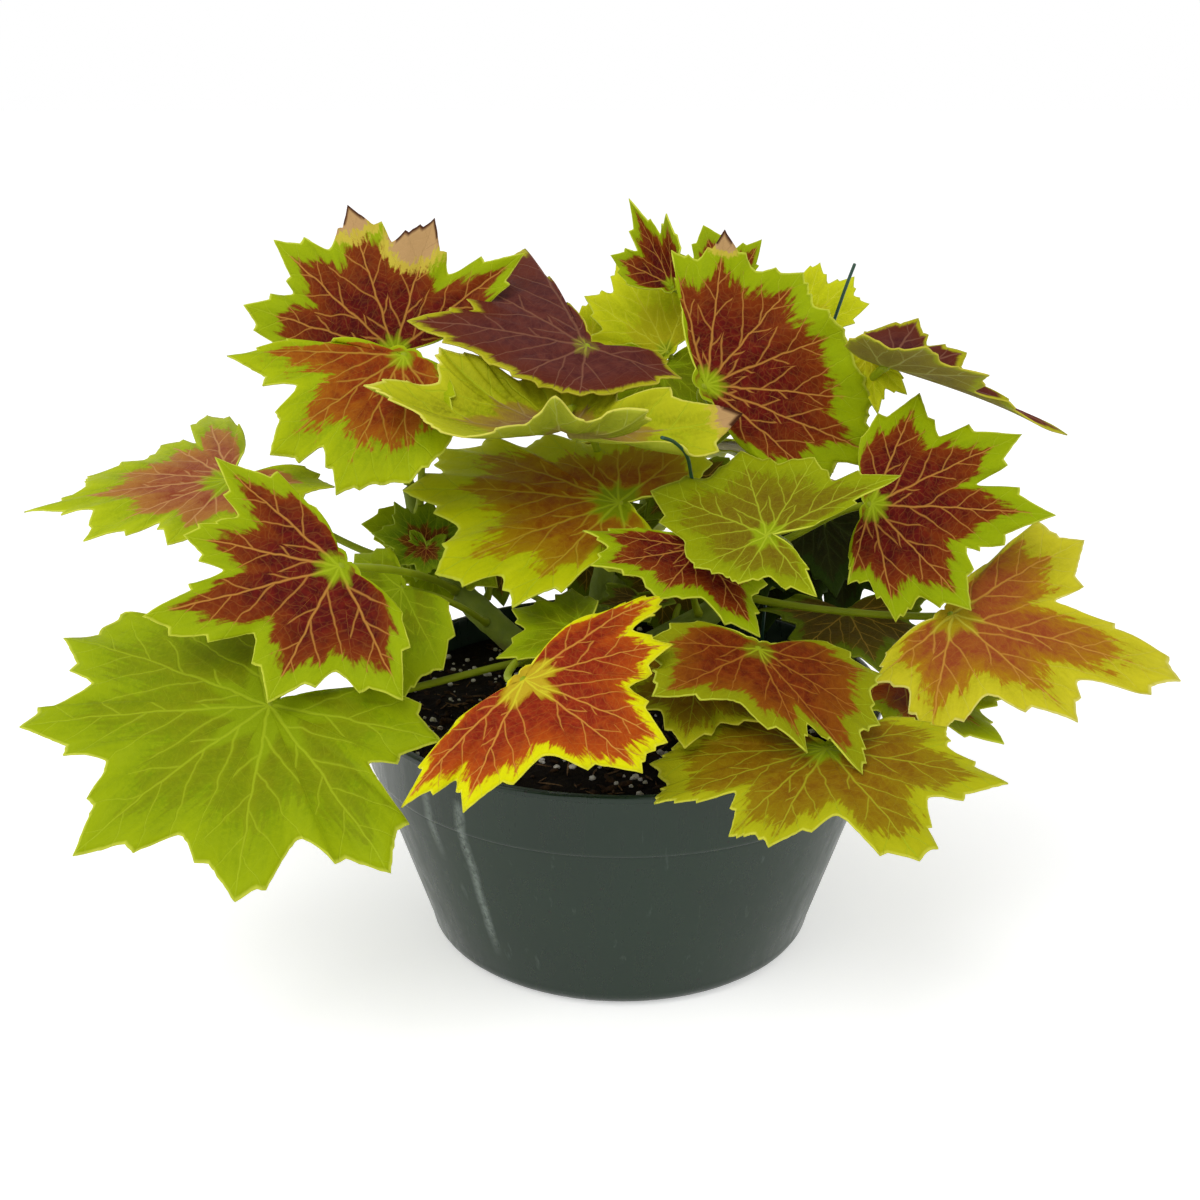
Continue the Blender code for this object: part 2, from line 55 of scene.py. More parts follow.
MM = 0.001
BODY = "root"
WHITE = (1.0, 1.0, 1.0, 1.0)
TYPICAL_REACH = 50.0  # mm; a blade's patterns are spaced for a leaf whose lobes are this long

# A blade's outline
OUTLINE_STEP = 1.4  # mm between its points
NOTCH = 0.68  # how far out a notch lies where a leaf doesn't say, as a share of the shorter lobe
NOTCH_ROUNDING = 1.7  # above 1, notches are round
TIP_HOLLOW = 0.08  # how hollow the margin is beside a tip, as a share of its rise
LOBE_HALF_WIDTH = 26.0  # degrees, at most, from a lobe's tip to the foot of its side
TOOTH_PLACE = (0.54, 0.7)  # how far a tooth lies round from the tip, as a share of the way to that foot
TOOTH_RISE = (0.38, 0.55)  # how high it stands above the notch, as a share of the tip's height
SECOND_TOOTH = 0.12  # how often a lobe's side has a second tooth
SECOND_PLACE = (0.27, 0.36)
SECOND_RISE = (0.7, 0.8)
TOOTH_DEPTH = 0.012  # how far a tooth stands out, as a share of the leaf's size
TOOTH_ROOM = 5.0  # degrees each side of a leaf's own tooth that are kept free of other teeth
DIP_PLACE = 0.3  # where the dip between two points lies, as a share of the way from the lower one
SINUS_SPREAD = 0.55  # how far a blade goes on past its outer lobes, as a share of the gap before them
SINUS_TURN = 16.0  # degrees, at most, between a blade's last point and the sinus beside the hub
SINUS_SIDE = 0.12  # how far from the hub the sinus's sides lie, as a share of the size
SINUS_MIDDLE = 0.05
MARGIN_JITTER = 0.004  # how uneven the margin is, as a share of the size

# A blade's form
RINGS = 15  # rows of points from the hub to the margin
RING_CROWDING = 0.9  # below 1, the rows come closer together towards the margin
BLADE_THICKNESS = 0.5 * MM
FOLD_RADIUS = 3.0  # mm, how tightly a folded blade turns along its midrib
DROOP_AT = 50.0  # mm from the hub, where the margin droops by the figure that a leaf gives
LOBE_TILT = 1.4  # mm, at most, by which a lobe's tip is tilted up or down
LOBE_TAPER = 2.6  # how soon that tilt dies out to the lobe's sides
RIPPLE_HEIGHT = 0.7  # mm
RIPPLE_WAVES = (4.1, 9.3)  # mm along the margin for each radian of its two ripples
VALLEY_DEPTH = 1.6  # mm; halfway out, a main vein's valley has a quarter of it
VALLEY_WIDTH = 3.2  # mm from the vein
SCORCH_CORE = 1.15  # how burnt the middle of a scorched place is
SCORCH_FADE = 0.62  # how much less that is at its stated width
UNBURNT = -1.0

# A blade's patterns: mm from one feature to the next
PATCHES = 26.0
BLOTCHES = 4.0
GRAIN = 1.1
VEIN_BENDS = 9.0
SIDE_VEINS = 9.8
CROSS_VEINS = 4.2
NET = 2.6
NET_BENDS = 3.0
STREAKS_PER_MM = (0.11, 0.75, 0.0)  # each streak is about 9 mm long and 1.3 mm wide
PATTERN_SHIFT = 900.0  # mm, at most, from which a leaf takes its patterns, so that no two are alike

# A blade's veins
MAIN_WIDTHS = (0.68, 0.22)  # mm to each side, at the hub and at the margin
SIDE_WIDTHS = (0.58, 0.22)
SIDE_SLOPE = 1.35  # mm that a side vein runs along its midvein for each mm away from it
SIDE_SQUARE = 0.6  # what a distance along the midvein comes to when it's measured square to a side vein
SIDE_SHIFT = 2.7  # mm by which each side's veins are moved, so that the two sides alternate
CROSS_SLOPE = 1.1
MAIN_BEND = 1.7  # how far each kind wanders, in mm for a whole step of the noise
SIDE_BEND = 4.2
CROSS_BEND = 7.0
RAY_WIDTH = 4.5  # mm to each side of a main vein that the star's rays reach

# Stalks
PETIOLE_RADIUS = 1.25 * MM
PETIOLE_POINTS = 22
GAP = 0.3 * MM  # from a stem's side to the rim of a stalk's foot, whose domed end closes it
ROOT_RISE = 0.4  # how steeply a stalk leaves its stem
ROOT_PULL = 0.3  # how long the curve's handle is at the stem, as a share of the stalk's span
HUB_PULL = 0.35
FLARES = ((0.5, 14.0), (0.25, 16.0))  # at the stem and at the hub: how much wider, and how soon it ends
SLIMNESS = 0.94  # of a stalk between its flares
HUB_BACK = 0.7  # how a stalk comes to its hub: back through the sinus and from below
HUB_BELOW = 0.75
SMALL_STALK = 0.55  # a small leaf's stalk has this share of the full radius, and grows with the leaf
FULL_STALK = 110.0

# Studio
FLOOR_SIZE = 8.0  # metres
FLOOR_DROP = 0.2 * MM  # how far the floor lies under the pot
WORLD_LIGHT = 0.62
LIGHT_AIM = (0, 0, 0.12)  # metres
LAMPS = (  # name, place and side in metres, and power in watts
    ("key_light", (-0.45, -0.8, 1.3), 0.9, 8.0),
    ("left_softbox", (-1.1, -0.2, 0.45), 0.7, 1.8),
    ("right_softbox", (1.1, -0.2, 0.45), 0.7, 1.8),
)
CAMERA_AT = (-6.7, -500.9, 287.1)
CAMERA_TILT = 70.32  # degrees up from straight down
LENS = 51.0
SENSOR = 36.0


class Slot(str, Enum):
    """The record's material slots."""

    POT = "pot_plastic"
    SOIL = "potting_mix"
    STEM = "green_stem"
    LIME = "lime_leaf"
    BRICK = "brick_leaf"
    MAROON = "maroon_leaf"
    WIRE = "coated_wire"


def linear(colour: str) -> tuple[float, float, float, float]:
    """Turn an sRGB hex colour into the linear values that a shader takes.

    Args:
        colour: "#RRGGBB".

    Returns:
        Linear red, green and blue, and an alpha of 1.
    """
    values = [int(colour[place:place + 2], 16) / 255 for place in (1, 3, 5)]
    return (*[v / 12.92 if v <= 0.04045 else ((v + 0.055) / 1.055) ** 2.4 for v in values], 1.0)


class Graph:
    """The nodes of a material or of the world, added one after another."""

    def __init__(self, owner: bpy.types.ID) -> None:
        """Switch the owner's nodes on.

        Args:
            owner: the material or world that the nodes are for.
        """
        owner.use_nodes = True
        self.owner = owner
        self.tree = owner.node_tree

    def add(self, kind: str, *inputs: object, **settings: object) -> bpy.types.Node:
        """Add a node.

        Args:
            kind: the node's type, without its ShaderNode prefix.
            inputs: for each shown input in turn, a node, a socket or a constant; None leaves it.
            settings: the node's own properties.

        Returns:
            The new node.
        """
        node = self.tree.nodes.new("ShaderNode" + kind)
        for key, value in settings.items():
            setattr(node, key, value)
        shown = [socket for socket in node.inputs if socket.enabled]
        for socket, value in zip(shown, inputs):
            self.feed(socket, value)
        return node

    def feed(self, socket: bpy.types.NodeSocket, value: object) -> None:
        """Link a node or a socket to an input, or set the input to a constant.

        Args:
            socket: the input.
            value: a node (its first shown output), a socket, a constant, or None.
        """
        if isinstance(value, bpy.types.Node):
            value = next(out for out in value.outputs if out.enabled)
        if isinstance(value, bpy.types.NodeSocket):
            self.tree.links.new(value, socket)
        elif value is not None:
            socket.default_value = value

    def surface(self, **inputs: object) -> bpy.types.Material:
        """Feed the Principled shader.

        Args:
            inputs: values by input name, with _ for a space.

        Returns:
            The finished material.
        """
        shader = self.tree.nodes["Principled BSDF"]
        for name, value in inputs.items():
            self.feed(shader.inputs[name.replace("_", " ")], value)
        return self.owner


class BladeMap:
    """Where a point lies on its blade, and the noises that make each pattern uneven there."""

    def __init__(self, g: Graph) -> None:
        """Read the blade's attributes and add the noises.

        Args:
            g: the finish's nodes.
        """
        lobe = g.add("Attribute", attribute_name="lobe").outputs["Vector"]
        self.flat = g.add("Attribute", attribute_name="flat").outputs["Vector"]
        self.side = g.add("Attribute", attribute_name="side").outputs["Fac"]
        self.scorch = g.add("Attribute", attribute_name="scorch").outputs["Fac"]
        self.along, self.aside, self.share = g.add("SeparateXYZ", lobe).outputs
        self.from_hub = g.add("SeparateXYZ", self.flat).outputs[2]
        self.broad = g.add("TexNoise", self.flat, 1 / PATCHES, 2.0, 0.5)
        self.ragged = g.add("TexNoise", self.flat, 1 / BLOTCHES, 4.0, 0.6)
        self.grain = g.add("TexNoise", self.flat, 1 / GRAIN, 3.0, 0.6)
        bends = g.add("TexNoise", self.flat, 1 / VEIN_BENDS, 2.0, 0.5)
        self.wander = g.add("Math", bends, 0.5, operation="SUBTRACT")
        # streaks that run with the lobe, in which the zone breaks up
        streak_at = g.add("VectorMath", lobe, STREAKS_PER_MM, operation="MULTIPLY")
        shift = g.add("CombineXYZ", self.broad, self.side, 0.0)
        streak_at = g.add("VectorMath", streak_at, shift, operation="ADD")
        self.streak = g.add("TexNoise", streak_at, 1.0, 4.0, 0.6)


class Veins:
    """How much of each kind of vein covers a point of the blade, from 0 to 1."""

    def __init__(self, g: Graph, at: BladeMap) -> None:
        """Add the veins.

        Args:
            g: the finish's nodes.
            at: where the point lies.
        """
        smooth = {"interpolation_type": "SMOOTHSTEP"}
        signed = g.add("Math", at.aside, at.side, operation="MULTIPLY")
        signed = g.add("Math", at.wander, MAIN_BEND, signed, operation="MULTIPLY_ADD")
        self.off_main = g.add("Math", signed, operation="ABSOLUTE")
        width = g.add("MapRange", at.share, 0.0, 1.0, *MAIN_WIDTHS)
        main = g.add("MapRange", self.off_main, 0.1, width, 1.0, 0.0, **smooth)
        # side veins: long and few, leaving the midvein at an acute angle
        lead = g.add("Math", at.aside, -SIDE_SLOPE, at.along, operation="MULTIPLY_ADD")
        lead = g.add("Math", at.wander, SIDE_BEND, lead, operation="MULTIPLY_ADD")
        lead = g.add("Math", at.side, SIDE_SHIFT, lead, operation="MULTIPLY_ADD")
        off_side = g.add("Math", lead, SIDE_VEINS / 2, operation="PINGPONG")
        off_side = g.add("Math", off_side, SIDE_SQUARE, operation="MULTIPLY")
        width = g.add("MapRange", at.share, 0.15, 1.0, *SIDE_WIDTHS)
        sides = g.add("MapRange", off_side, 0.05, width, 1.0, 0.0, **smooth)
        sides = g.add("Math", sides, g.add("MapRange", lead, 1.0, 5.0, 0.0, 1.0), operation="MULTIPLY")
        self.strong = g.add("Math", main, sides, operation="MAXIMUM")
        # the blade is paler beside both
        by_main = g.add("MapRange", self.off_main, 0.0, 2.4, 1.0, 0.0)
        by_side = g.add("MapRange", off_side, 0.0, 1.5, 0.7, 0.0, **smooth)
        self.beside = g.add("Math", by_main, by_side, operation="MAXIMUM")
        # lesser veins cross between the side veins, over the fine net
        cross = g.add("Math", at.aside, CROSS_SLOPE, at.along, operation="MULTIPLY_ADD")
        cross = g.add("Math", at.wander, CROSS_BEND, cross, operation="MULTIPLY_ADD")
        cross = g.add("Math", cross, CROSS_VEINS / 2, operation="PINGPONG")
        cross = g.add("MapRange", cross, 0.05, 0.32, 0.17, 0.0)
        net_bend = g.add("TexNoise", at.flat, 1 / NET_BENDS).outputs["Color"]
        net_at = g.add("VectorMath", at.flat, net_bend, operation="ADD")
        net = g.add("TexVoronoi", net_at, 1 / NET, feature="DISTANCE_TO_EDGE")
        net = g.add("MapRange", net, 0.0, 0.1, 0.09, 0.0)
        lesser = g.add("Math", net, cross, operation="MAXIMUM")
        faint_sides = g.add("Math", sides, 0.82, operation="MULTIPLY")
        seen = g.add("Math", main, faint_sides, operation="MAXIMUM")
        self.seen = g.add("Math", seen, lesser, operation="MAXIMUM")


@dataclass(frozen=True)
class LeafFinish:
    """How one kind of leaf is coloured."""

    name: str
    slot: Slot
    blade: str = "#879C04"
    blade_dark: str = "#6C8402"
    margin: str = "#98AA06"
    edge: str = "#D2DA48"
    zone: str = "#4C0A08"
    zone_pale: str = "#66160E"
    zone_outer: str = "#7A3208"
    vein_in_zone: str = "#C88E3E"
    vein: str = "#A8BA20"
    star: str = "#8C9E0A"
    zone_start: float = 4.0  # mm from the hub, roughly: nearer between the star's rays, further along them
    zone_end: float = 0.79  # share of the way to the margin
    strength: float = 1.0  # of the zone
    ragged: float = 0.32  # how far its outer edge frays, as a share of that way
    vein_strength: float = 0.74
    vein_height: float = -1.0  # below 0, the veins are sunk

    def underside(self) -> "LeafFinish":
        """Give the lower side's finish: paler and greyer, with raised veins and the zone showing faintly."""
        return replace(self, name=self.name + "_underside", blade="#9AA826", blade_dark="#808E1E",
                       margin="#ACB42E", zone="#7E5A40", zone_pale="#8C6A4A", zone_outer="#8E7440",
                       star="#9AA82C", vein="#BCC658", vein_in_zone="#B9B070", strength=self.strength * 0.6,
                       vein_height=1.6)

    def green(self, g: Graph, at: BladeMap, veins: Veins) -> bpy.types.Node:
        """Colour the green of the blade, paler towards the margin and beside the veins.

        Args:
            g: the finish's nodes.
            at: where the point lies.
            veins: the veins there.

        Returns:
            The colour.
        """
        dark, pale = linear(self.blade_dark), linear(self.margin)
        patches = g.add("MapRange", at.broad, 0.3, 0.7)
        green = g.add("Mix", patches, dark, linear(self.blade), data_type="RGBA")
        mottle = g.add("MapRange", at.ragged, 0.4, 0.66, 0.0, 0.75)
        green = g.add("Mix", mottle, green, dark, data_type="RGBA")
        specks = g.add("MapRange", at.grain, 0.42, 0.7, 0.0, 0.5)
        green = g.add("Mix", specks, green, pale, data_type="RGBA")
        rim = g.add("Math", at.streak, 0.3, at.share, operation="MULTIPLY_ADD")
        rim = g.add("MapRange", rim, 0.78, 1.12, 0.0, 1.0)
        beside = g.add("Math", veins.beside, 0.75, operation="MULTIPLY")
        rim = g.add("Math", rim, beside, operation="MAXIMUM")
        return g.add("Mix", rim, green, pale, data_type="RGBA")

    def zoned(self, g: Graph, at: BladeMap, veins: Veins) -> tuple[bpy.types.Node, bpy.types.Node]:
        """Lay the dark zone over the green, from round the star at the hub to near the margin.

        Args:
            g: the finish's nodes.
            at: where the point lies.
            veins: the veins there.

        Returns:
            The colour, and how much of it is the zone's.
        """
        # the star's rays run out along the main veins
        ray = g.add("MapRange", veins.off_main, 0.0, RAY_WIDTH, 1.0, 0.0)
        star = g.add("Math", ray, -self.zone_start * 0.95, at.from_hub, operation="MULTIPLY_ADD")
        star = g.add("Math", at.streak, 7.0, star, operation="MULTIPLY_ADD")
        star = g.add("Math", at.ragged, 4.0, star, operation="MULTIPLY_ADD")
        first, full = self.zone_start * 0.5 + 3.4, self.zone_start * 0.6 + 6.6
        inside = g.add("MapRange", star, first, full, 0.0, 1.0)
        # outside, streaks and blotches fray it, and it reaches furthest along the veins
        reach = g.add("Math", at.streak, self.ragged, at.share, operation="MULTIPLY_ADD")
        reach = g.add("Math", at.ragged, self.ragged * 0.5, reach, operation="MULTIPLY_ADD")
        reach = g.add("Math", at.broad, self.ragged * 0.6, reach, operation="MULTIPLY_ADD")
        reach = g.add("Math", veins.strong, -0.035, reach, operation="MULTIPLY_ADD")
        middle = self.zone_end + self.ragged * 1.05  # with what the noises add on average
        outside = g.add("MapRange", reach, middle - 0.03, middle + 0.05, 1.0, 0.0,
                        interpolation_type="SMOOTHSTEP")
        zone = g.add("Math", inside, outside, operation="MULTIPLY")
        zone = g.add("Math", zone, self.strength, operation="MULTIPLY")
        outer = linear(self.zone_outer)
        blotched = g.add("MapRange", at.ragged, 0.38, 0.64)
        dark = g.add("Mix", blotched, linear(self.zone), linear(self.zone_pale), data_type="RGBA")
        dark = g.add("Mix", g.add("MapRange", at.grain, 0.56, 0.74, 0.0, 0.4), dark, outer, data_type="RGBA")
        outward = g.add("MapRange", reach, middle - 0.3, middle - 0.02, 0.0, 1.0)
        dark = g.add("Mix", outward, dark, outer, data_type="RGBA")
        base = g.add("Mix", inside, linear(self.star), self.green(g, at, veins), data_type="RGBA")
        return g.add("Mix", zone, base, dark, data_type="RGBA"), zone

    @staticmethod
    def scorched(g: Graph, at: BladeMap, colour: bpy.types.Node) -> bpy.types.Node:
        """Turn what has scorched yellow, then tan, with a crisp brown margin.

        Args:
            g: the finish's nodes.
            at: where the point lies.
            colour: the living leaf's colour.

        Returns:
            The colour.
        """
        uneven = g.add("Math", at.streak, 1.1, at.ragged, operation="MULTIPLY_ADD")
        burn = g.add("Math", uneven, 0.55, at.scorch, operation="MULTIPLY_ADD")
        yellowed = g.add("MapRange", burn, 0.82, 0.92, 0.0, 0.9)
        colour = g.add("Mix", yellowed, colour, linear("#C8B440"), data_type="RGBA")
        dried = g.add("MapRange", burn, 1.06, 1.14)
        colour = g.add("Mix", dried, colour, linear("#BC9664"), data_type="RGBA")
        crisp = g.add("Math", g.add("MapRange", burn, 1.24, 1.34),
                      g.add("MapRange", at.share, 0.955, 0.985), operation="MULTIPLY")
        return g.add("Mix", crisp, colour, linear("#4E2C1A"), data_type="RGBA")

    def material(self) -> bpy.types.Material:
        """Build the finish.

        Living leaf: its pattern follows each lobe's midvein, side veins and fine net.

        Returns:
            The material, made once.
        """
        found = bpy.data.materials.get(self.name)
        if found:
            return found
        g = Graph(bpy.data.materials.new(self.name))
        at = BladeMap(g)
        veins = Veins(g, at)
        colour, zone = self.zoned(g, at, veins)
        # veins lie over all, fainter on the green
        vein = g.add("Mix", zone, linear(self.vein), linear(self.vein_in_zone), data_type="RGBA")
        calm = g.add("MapRange", zone, 0.0, 1.0, 0.8, 1.0)
        seen = g.add("Math", veins.seen, self.vein_strength, operation="MULTIPLY")
        seen = g.add("Math", seen, calm, operation="MULTIPLY")
        colour = g.add("Mix", seen, colour, vein, data_type="RGBA")
        edge = g.add("MapRange", at.share, 0.978, 0.996, 0.0, 0.9)
        colour = g.add("Mix", edge, colour, linear(self.edge), data_type="RGBA")
        colour = self.scorched(g, at, colour)
        # the blade is quilted between its veins, and its down keeps it nearly matt
        relief = g.add("Math", veins.seen, self.vein_height, at.ragged, operation="MULTIPLY_ADD")
        bump = g.add("Bump", 0.4, 0.6 * MM, None, relief)
        rough = g.add("MapRange", at.ragged, 0.3, 0.7, 0.45, 0.62)
        return g.surface(Base_Color=colour, Normal=bump, Roughness=rough, Specular_IOR_Level=0.05)


class Finish(Enum):
    """The plant's leaf finishes; DARK and SHADED have shade painted into them, and BRIGHT has light painted
    into it.
    """

    LIME = LeafFinish("leaf_lime", Slot.LIME, zone="#6E6804", zone_pale="#747A04", zone_outer="#7A8404",
                      strength=0.5, zone_start=12, zone_end=0.7, ragged=0.6, vein_in_zone="#A2B41C",
                      star="#869A06")
    FAINT = LeafFinish("leaf_faintly_zoned", Slot.LIME, zone="#74480A", zone_pale="#80600A",
                       zone_outer="#80740A", strength=0.8, blade="#8E9C06", blade_dark="#7A8A04",
                       margin="#A2AE06", zone_end=0.62, ragged=0.42, vein_in_zone="#A6AA24")
    OLIVE = LeafFinish("leaf_olive", Slot.LIME, blade="#848E04", blade_dark="#6A7202", margin="#949E06",
                       zone="#6A400A", zone_pale="#745C0A", zone_outer="#7A6A04", zone_start=6,
                       zone_end=0.72, ragged=0.5, strength=0.7, vein="#B0BE2A", vein_in_zone="#A4AC28",
                       vein_strength=0.9)
    # partly painted light: a paler yellow-lime, made lighter still to offset the shade that the leaves at the
    # back sit in
    BRIGHT = LeafFinish("leaf_bright_lime", Slot.LIME, blade="#C2C80A", blade_dark="#A6B006",
                        margin="#D0D418", zone="#A0840A", zone_pale="#AA940C", zone_outer="#B0A40C",
                        strength=0.5, zone_end=0.5, ragged=0.5, vein="#D8DC40", vein_in_zone="#C8C430")
    YELLOW = LeafFinish("leaf_yellow_blotched", Slot.LIME, blade="#A0A008", blade_dark="#888806",
                        margin="#B4B414", zone="#7A4606", zone_pale="#8A600A", zone_outer="#8E7008",
                        zone_start=5, zone_end=0.82, ragged=0.5, strength=0.88, vein_in_zone="#B0AC24",
                        edge="#D8D848")
    YOUNG = LeafFinish("leaf_young", Slot.LIME, blade="#6A860A", blade_dark="#4C680A", margin="#869C12",
                       zone="#5C140E", zone_pale="#6E2414", zone_outer="#6E4A0C", zone_start=1,
                       zone_end=0.5, ragged=0.4, vein="#9CB02C", edge="#AABC3C")
    # painted shade: a lime leaf's colours darkened nearly to black, to stand for the deep shade inside the
    # plant
    DARK = LeafFinish("leaf_in_deep_shade", Slot.LIME, blade="#1C2E0A", blade_dark="#101E06",
                      margin="#2E400C", zone="#1E1206", zone_pale="#2A1A08", zone_outer="#2C200A",
                      strength=0.5, vein="#34461A", edge="#3C4C1A", vein_in_zone="#3A3814",
                      vein_strength=0.5)
    # painted shade: a lime leaf's colours darkened, to stand for the shade that these leaves sit in
    SHADED = LeafFinish("leaf_shaded", Slot.LIME, blade="#566A08", blade_dark="#3E5206", margin="#6E7E0C",
                        zone="#4A2408", zone_pale="#58300E", zone_outer="#5C3C0E", strength=0.7,
                        vein="#7C9028", edge="#8A9A30")
    BRICK = LeafFinish("leaf_brick_zoned", Slot.BRICK, zone="#742604", zone_pale="#8C3A08",
                       zone_outer="#9A560A", zone_start=3, ragged=0.48, blade="#90A404", margin="#A6B406",
                       zone_end=0.7, vein_in_zone="#B88C30")
    OCHRE = LeafFinish("leaf_ochre_zoned", Slot.BRICK, zone="#84480A", zone_pale="#94600A",
                       zone_outer="#9C7C06", zone_start=6, ragged=0.4, blade="#AAB404",
                       blade_dark="#8E9C02", margin="#BCC20A", zone_end=0.72, vein_in_zone="#B49A24",
                       star="#7A8A04")
    GOLD = LeafFinish("leaf_gold_margined", Slot.BRICK, zone="#944420", zone_pale="#9E5420",
                      zone_outer="#AA7810", zone_start=6, ragged=0.5, blade="#B0A80C", blade_dark="#98900A",
                      margin="#CEC624", edge="#ECE478", zone_end=0.74, vein_in_zone="#CE983C",
                      star="#A89010", vein="#CEC640")
    CUPPED = LeafFinish("leaf_cupped_stripe", Slot.LIME, zone="#7C563A", zone_pale="#8C6C48",
                        zone_outer="#9A8420", zone_start=0, zone_end=0.54, ragged=0.34, blade="#9AA806",
                        blade_dark="#80800A", margin="#BCBE1C", edge="#E2DE60", vein_in_zone="#A08850",
                        star="#7E5A38")
    PINK = LeafFinish("leaf_pink_zoned", Slot.BRICK, zone="#8C4226", zone_pale="#9C5A36",
                      zone_outer="#A87230", zone_start=6, zone_end=0.68, ragged=0.36, blade="#98AA08",
                      margin="#AEBC14", vein_in_zone="#C8965C")
    MAROON = LeafFinish("leaf_maroon_zoned", Slot.MAROON)
    DEEP = LeafFinish("leaf_deep_zoned", Slot.MAROON, zone="#601E06", zone_pale="#7A320A",
                      zone_outer="#844806", blade="#7C7A04", blade_dark="#6A6C04", margin="#8E9206",
                      zone_start=4, zone_end=0.8, vein_in_zone="#A86E24", star="#78700A")
    PURPLE = LeafFinish("leaf_purple_zoned", Slot.MAROON, zone="#4E201E", zone_pale="#623028",
                        zone_outer="#602818", zone_start=2, zone_end=0.92, ragged=0.14,
                        vein_in_zone="#865842", star="#6E4A3A", margin="#ACA818", blade="#98940A",
                        edge="#C8C040")
    VIVID = LeafFinish("leaf_vivid_margined", Slot.MAROON, zone="#80200E", zone_pale="#9A3214",
                       zone_outer="#B24C0E", blade="#CCCC04", blade_dark="#B8BC04", margin="#E2E004",
                       edge="#F0EC40", zone_start=8, zone_end=0.88, star="#C2A624", vein_in_zone="#DC9C40",
                       vein="#DEDC30")


FIVE = ((-98, 0.84), (-48, 0.95), (0, 1.0), (48, 0.95), (98, 0.84))
SEVEN = ((-132, 0.72), (-90, 0.9), (-45, 1.0), (0, 1.0), (45, 1.0), (90, 0.9), (132, 0.72))


@dataclass(frozen=True)
class Stem:
    """A branch of the plant, as (point, radius) knots from the crown to its tip."""

    name: str
    knots: tuple

    def at(self, share: float) -> tuple[Vector, float, Vector]:
        """Find a place along the stem.

        Args:
            share: 0 at the crown to 1 at the tip.

        Returns:
            The point, the stem's radius and its direction there, in metres.
        """
        place = share * (len(self.knots) - 1)
        index = min(int(place), len(self.knots) - 2)
        part = place - index
        (start, first), (end, last) = self.knots[index], self.knots[index + 1]
        start, end = Vector(start) * MM, Vector(end) * MM
        return start.lerp(end, part), (first + part * (last - first)) * MM, (end - start).normalized()


STEMS = {stem.name: stem for stem in (
    Stem("left", (((-15, 9, 77), 5.5), ((-32, 14, 86), 5.0), ((-50, 18, 102), 4.2), ((-64, 22, 120), 3.4),
                  ((-68, 26, 138), 2.5))),
    Stem("centre", (((-13, 10, 77), 5.0), ((-8, 18, 94), 4.4), ((-4, 24, 118), 3.4), ((0, 30, 140), 2.4))),
    Stem("right", (((-11, 7, 77), 5.5), ((10, 6, 90), 4.8), ((30, 6, 102), 4.0), ((44, 10, 120), 3.2),
                   ((50, 16, 136), 2.4))),
    Stem("back", (((-12, 11, 77), 4.5), ((-4, 30, 92), 4.0), ((4, 46, 108), 3.4), ((10, 56, 124), 2.9),
                  ((14, 60, 142), 2.4))),
)}


@dataclass
class Piece:
    """A named object of the model, with its finish, its slot and the solids it stands for."""

    name: str
    slot: Slot
    stands_for: tuple[str, ...] = ()

    def settle(self, obj: bpy.types.Object, *finishes: bpy.types.Material) -> bpy.types.Object:
        """Name the object, give it its finishes and attach it to the model.

        Args:
            obj: the object, in place.
            finishes: its materials in the order of its slots.

        Returns:
            The same object.
        """
        obj.name = self.name
        obj.data.materials.clear()
        for finish in finishes:
            obj.data.materials.append(finish)
        obj.data.shade_smooth()
        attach(obj, BODY)
        if self.stands_for:
            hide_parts(*self.stands_for)
        log.info("%s: %d faces", self.name, len(obj.data.polygons))
        return obj


def mesh_object(name: str, points: list, faces: list) -> bpy.types.Object:
    """Make an object from points and faces.

    Args:
        name: the object's name.
        points: vertex positions in metres.
        faces: vertex indices of each face.

    Returns:
        The object, linked to the scene.
    """
    mesh = bpy.data.meshes.new(name)
    mesh.from_pydata([tuple(point) for point in points], [], faces)
    mesh.update()
    obj = bpy.data.objects.new(name, mesh)
    bpy.context.scene.collection.objects.link(obj)
    return obj


def tube(name: str, points: list, radii: list, sides: int = 12) -> bpy.types.Object:
    """Make a round tube with domed ends.

    Args:
        name: the object's name.
        points: its centreline in metres.
        radii: its radius at each point, in metres.
        sides: how many sides it has.

    Returns:
        The tube.
    """
    rows, faces = [], []
    normal = Vector((1, 0.3, 0.1))
    last = len(points) - 1
    headings = [(points[min(index + 1, last)] - points[max(index - 1, 0)]).normalized()
                for index in range(last + 1)]
    for point, radius, ahead in zip(points, radii, headings):
        normal = (normal - normal.dot(ahead) * ahead).normalized()
        across = ahead.cross(normal)
        for step in range(sides):
            turn = 2 * math.pi * step / sides
            rows.append(point + radius * (math.cos(turn) * normal + math.sin(turn) * across))
    for index in range(last):
        low, high = index * sides, (index + 1) * sides
        for step in range(sides):
            after = (step + 1) % sides
            faces.append((low + step, low + after, high + after, high + step))
    for index, way in ((0, -1), (last, 1)):
        rows.append(points[index] + way * headings[index] * radii[index] * 0.5)
        ring = [index * sides + step for step in range(sides)]
        for step in range(sides):
            faces.append((ring[step], ring[(step + 1) % sides], len(rows) - 1)[::way])
    return mesh_object(name, rows, faces)


def bezier(controls: tuple, share: float) -> Vector:
    """Find a point on a cubic Bezier curve.

    Args:
        controls: its four control points.
        share: 0 at its start to 1 at its end.

    Returns:
        The point.
    """
    a, b, c, d = controls
    rest = 1 - share
    return a * rest**3 + b * 3 * rest**2 * share + c * 3 * rest * share**2 + d * share**3


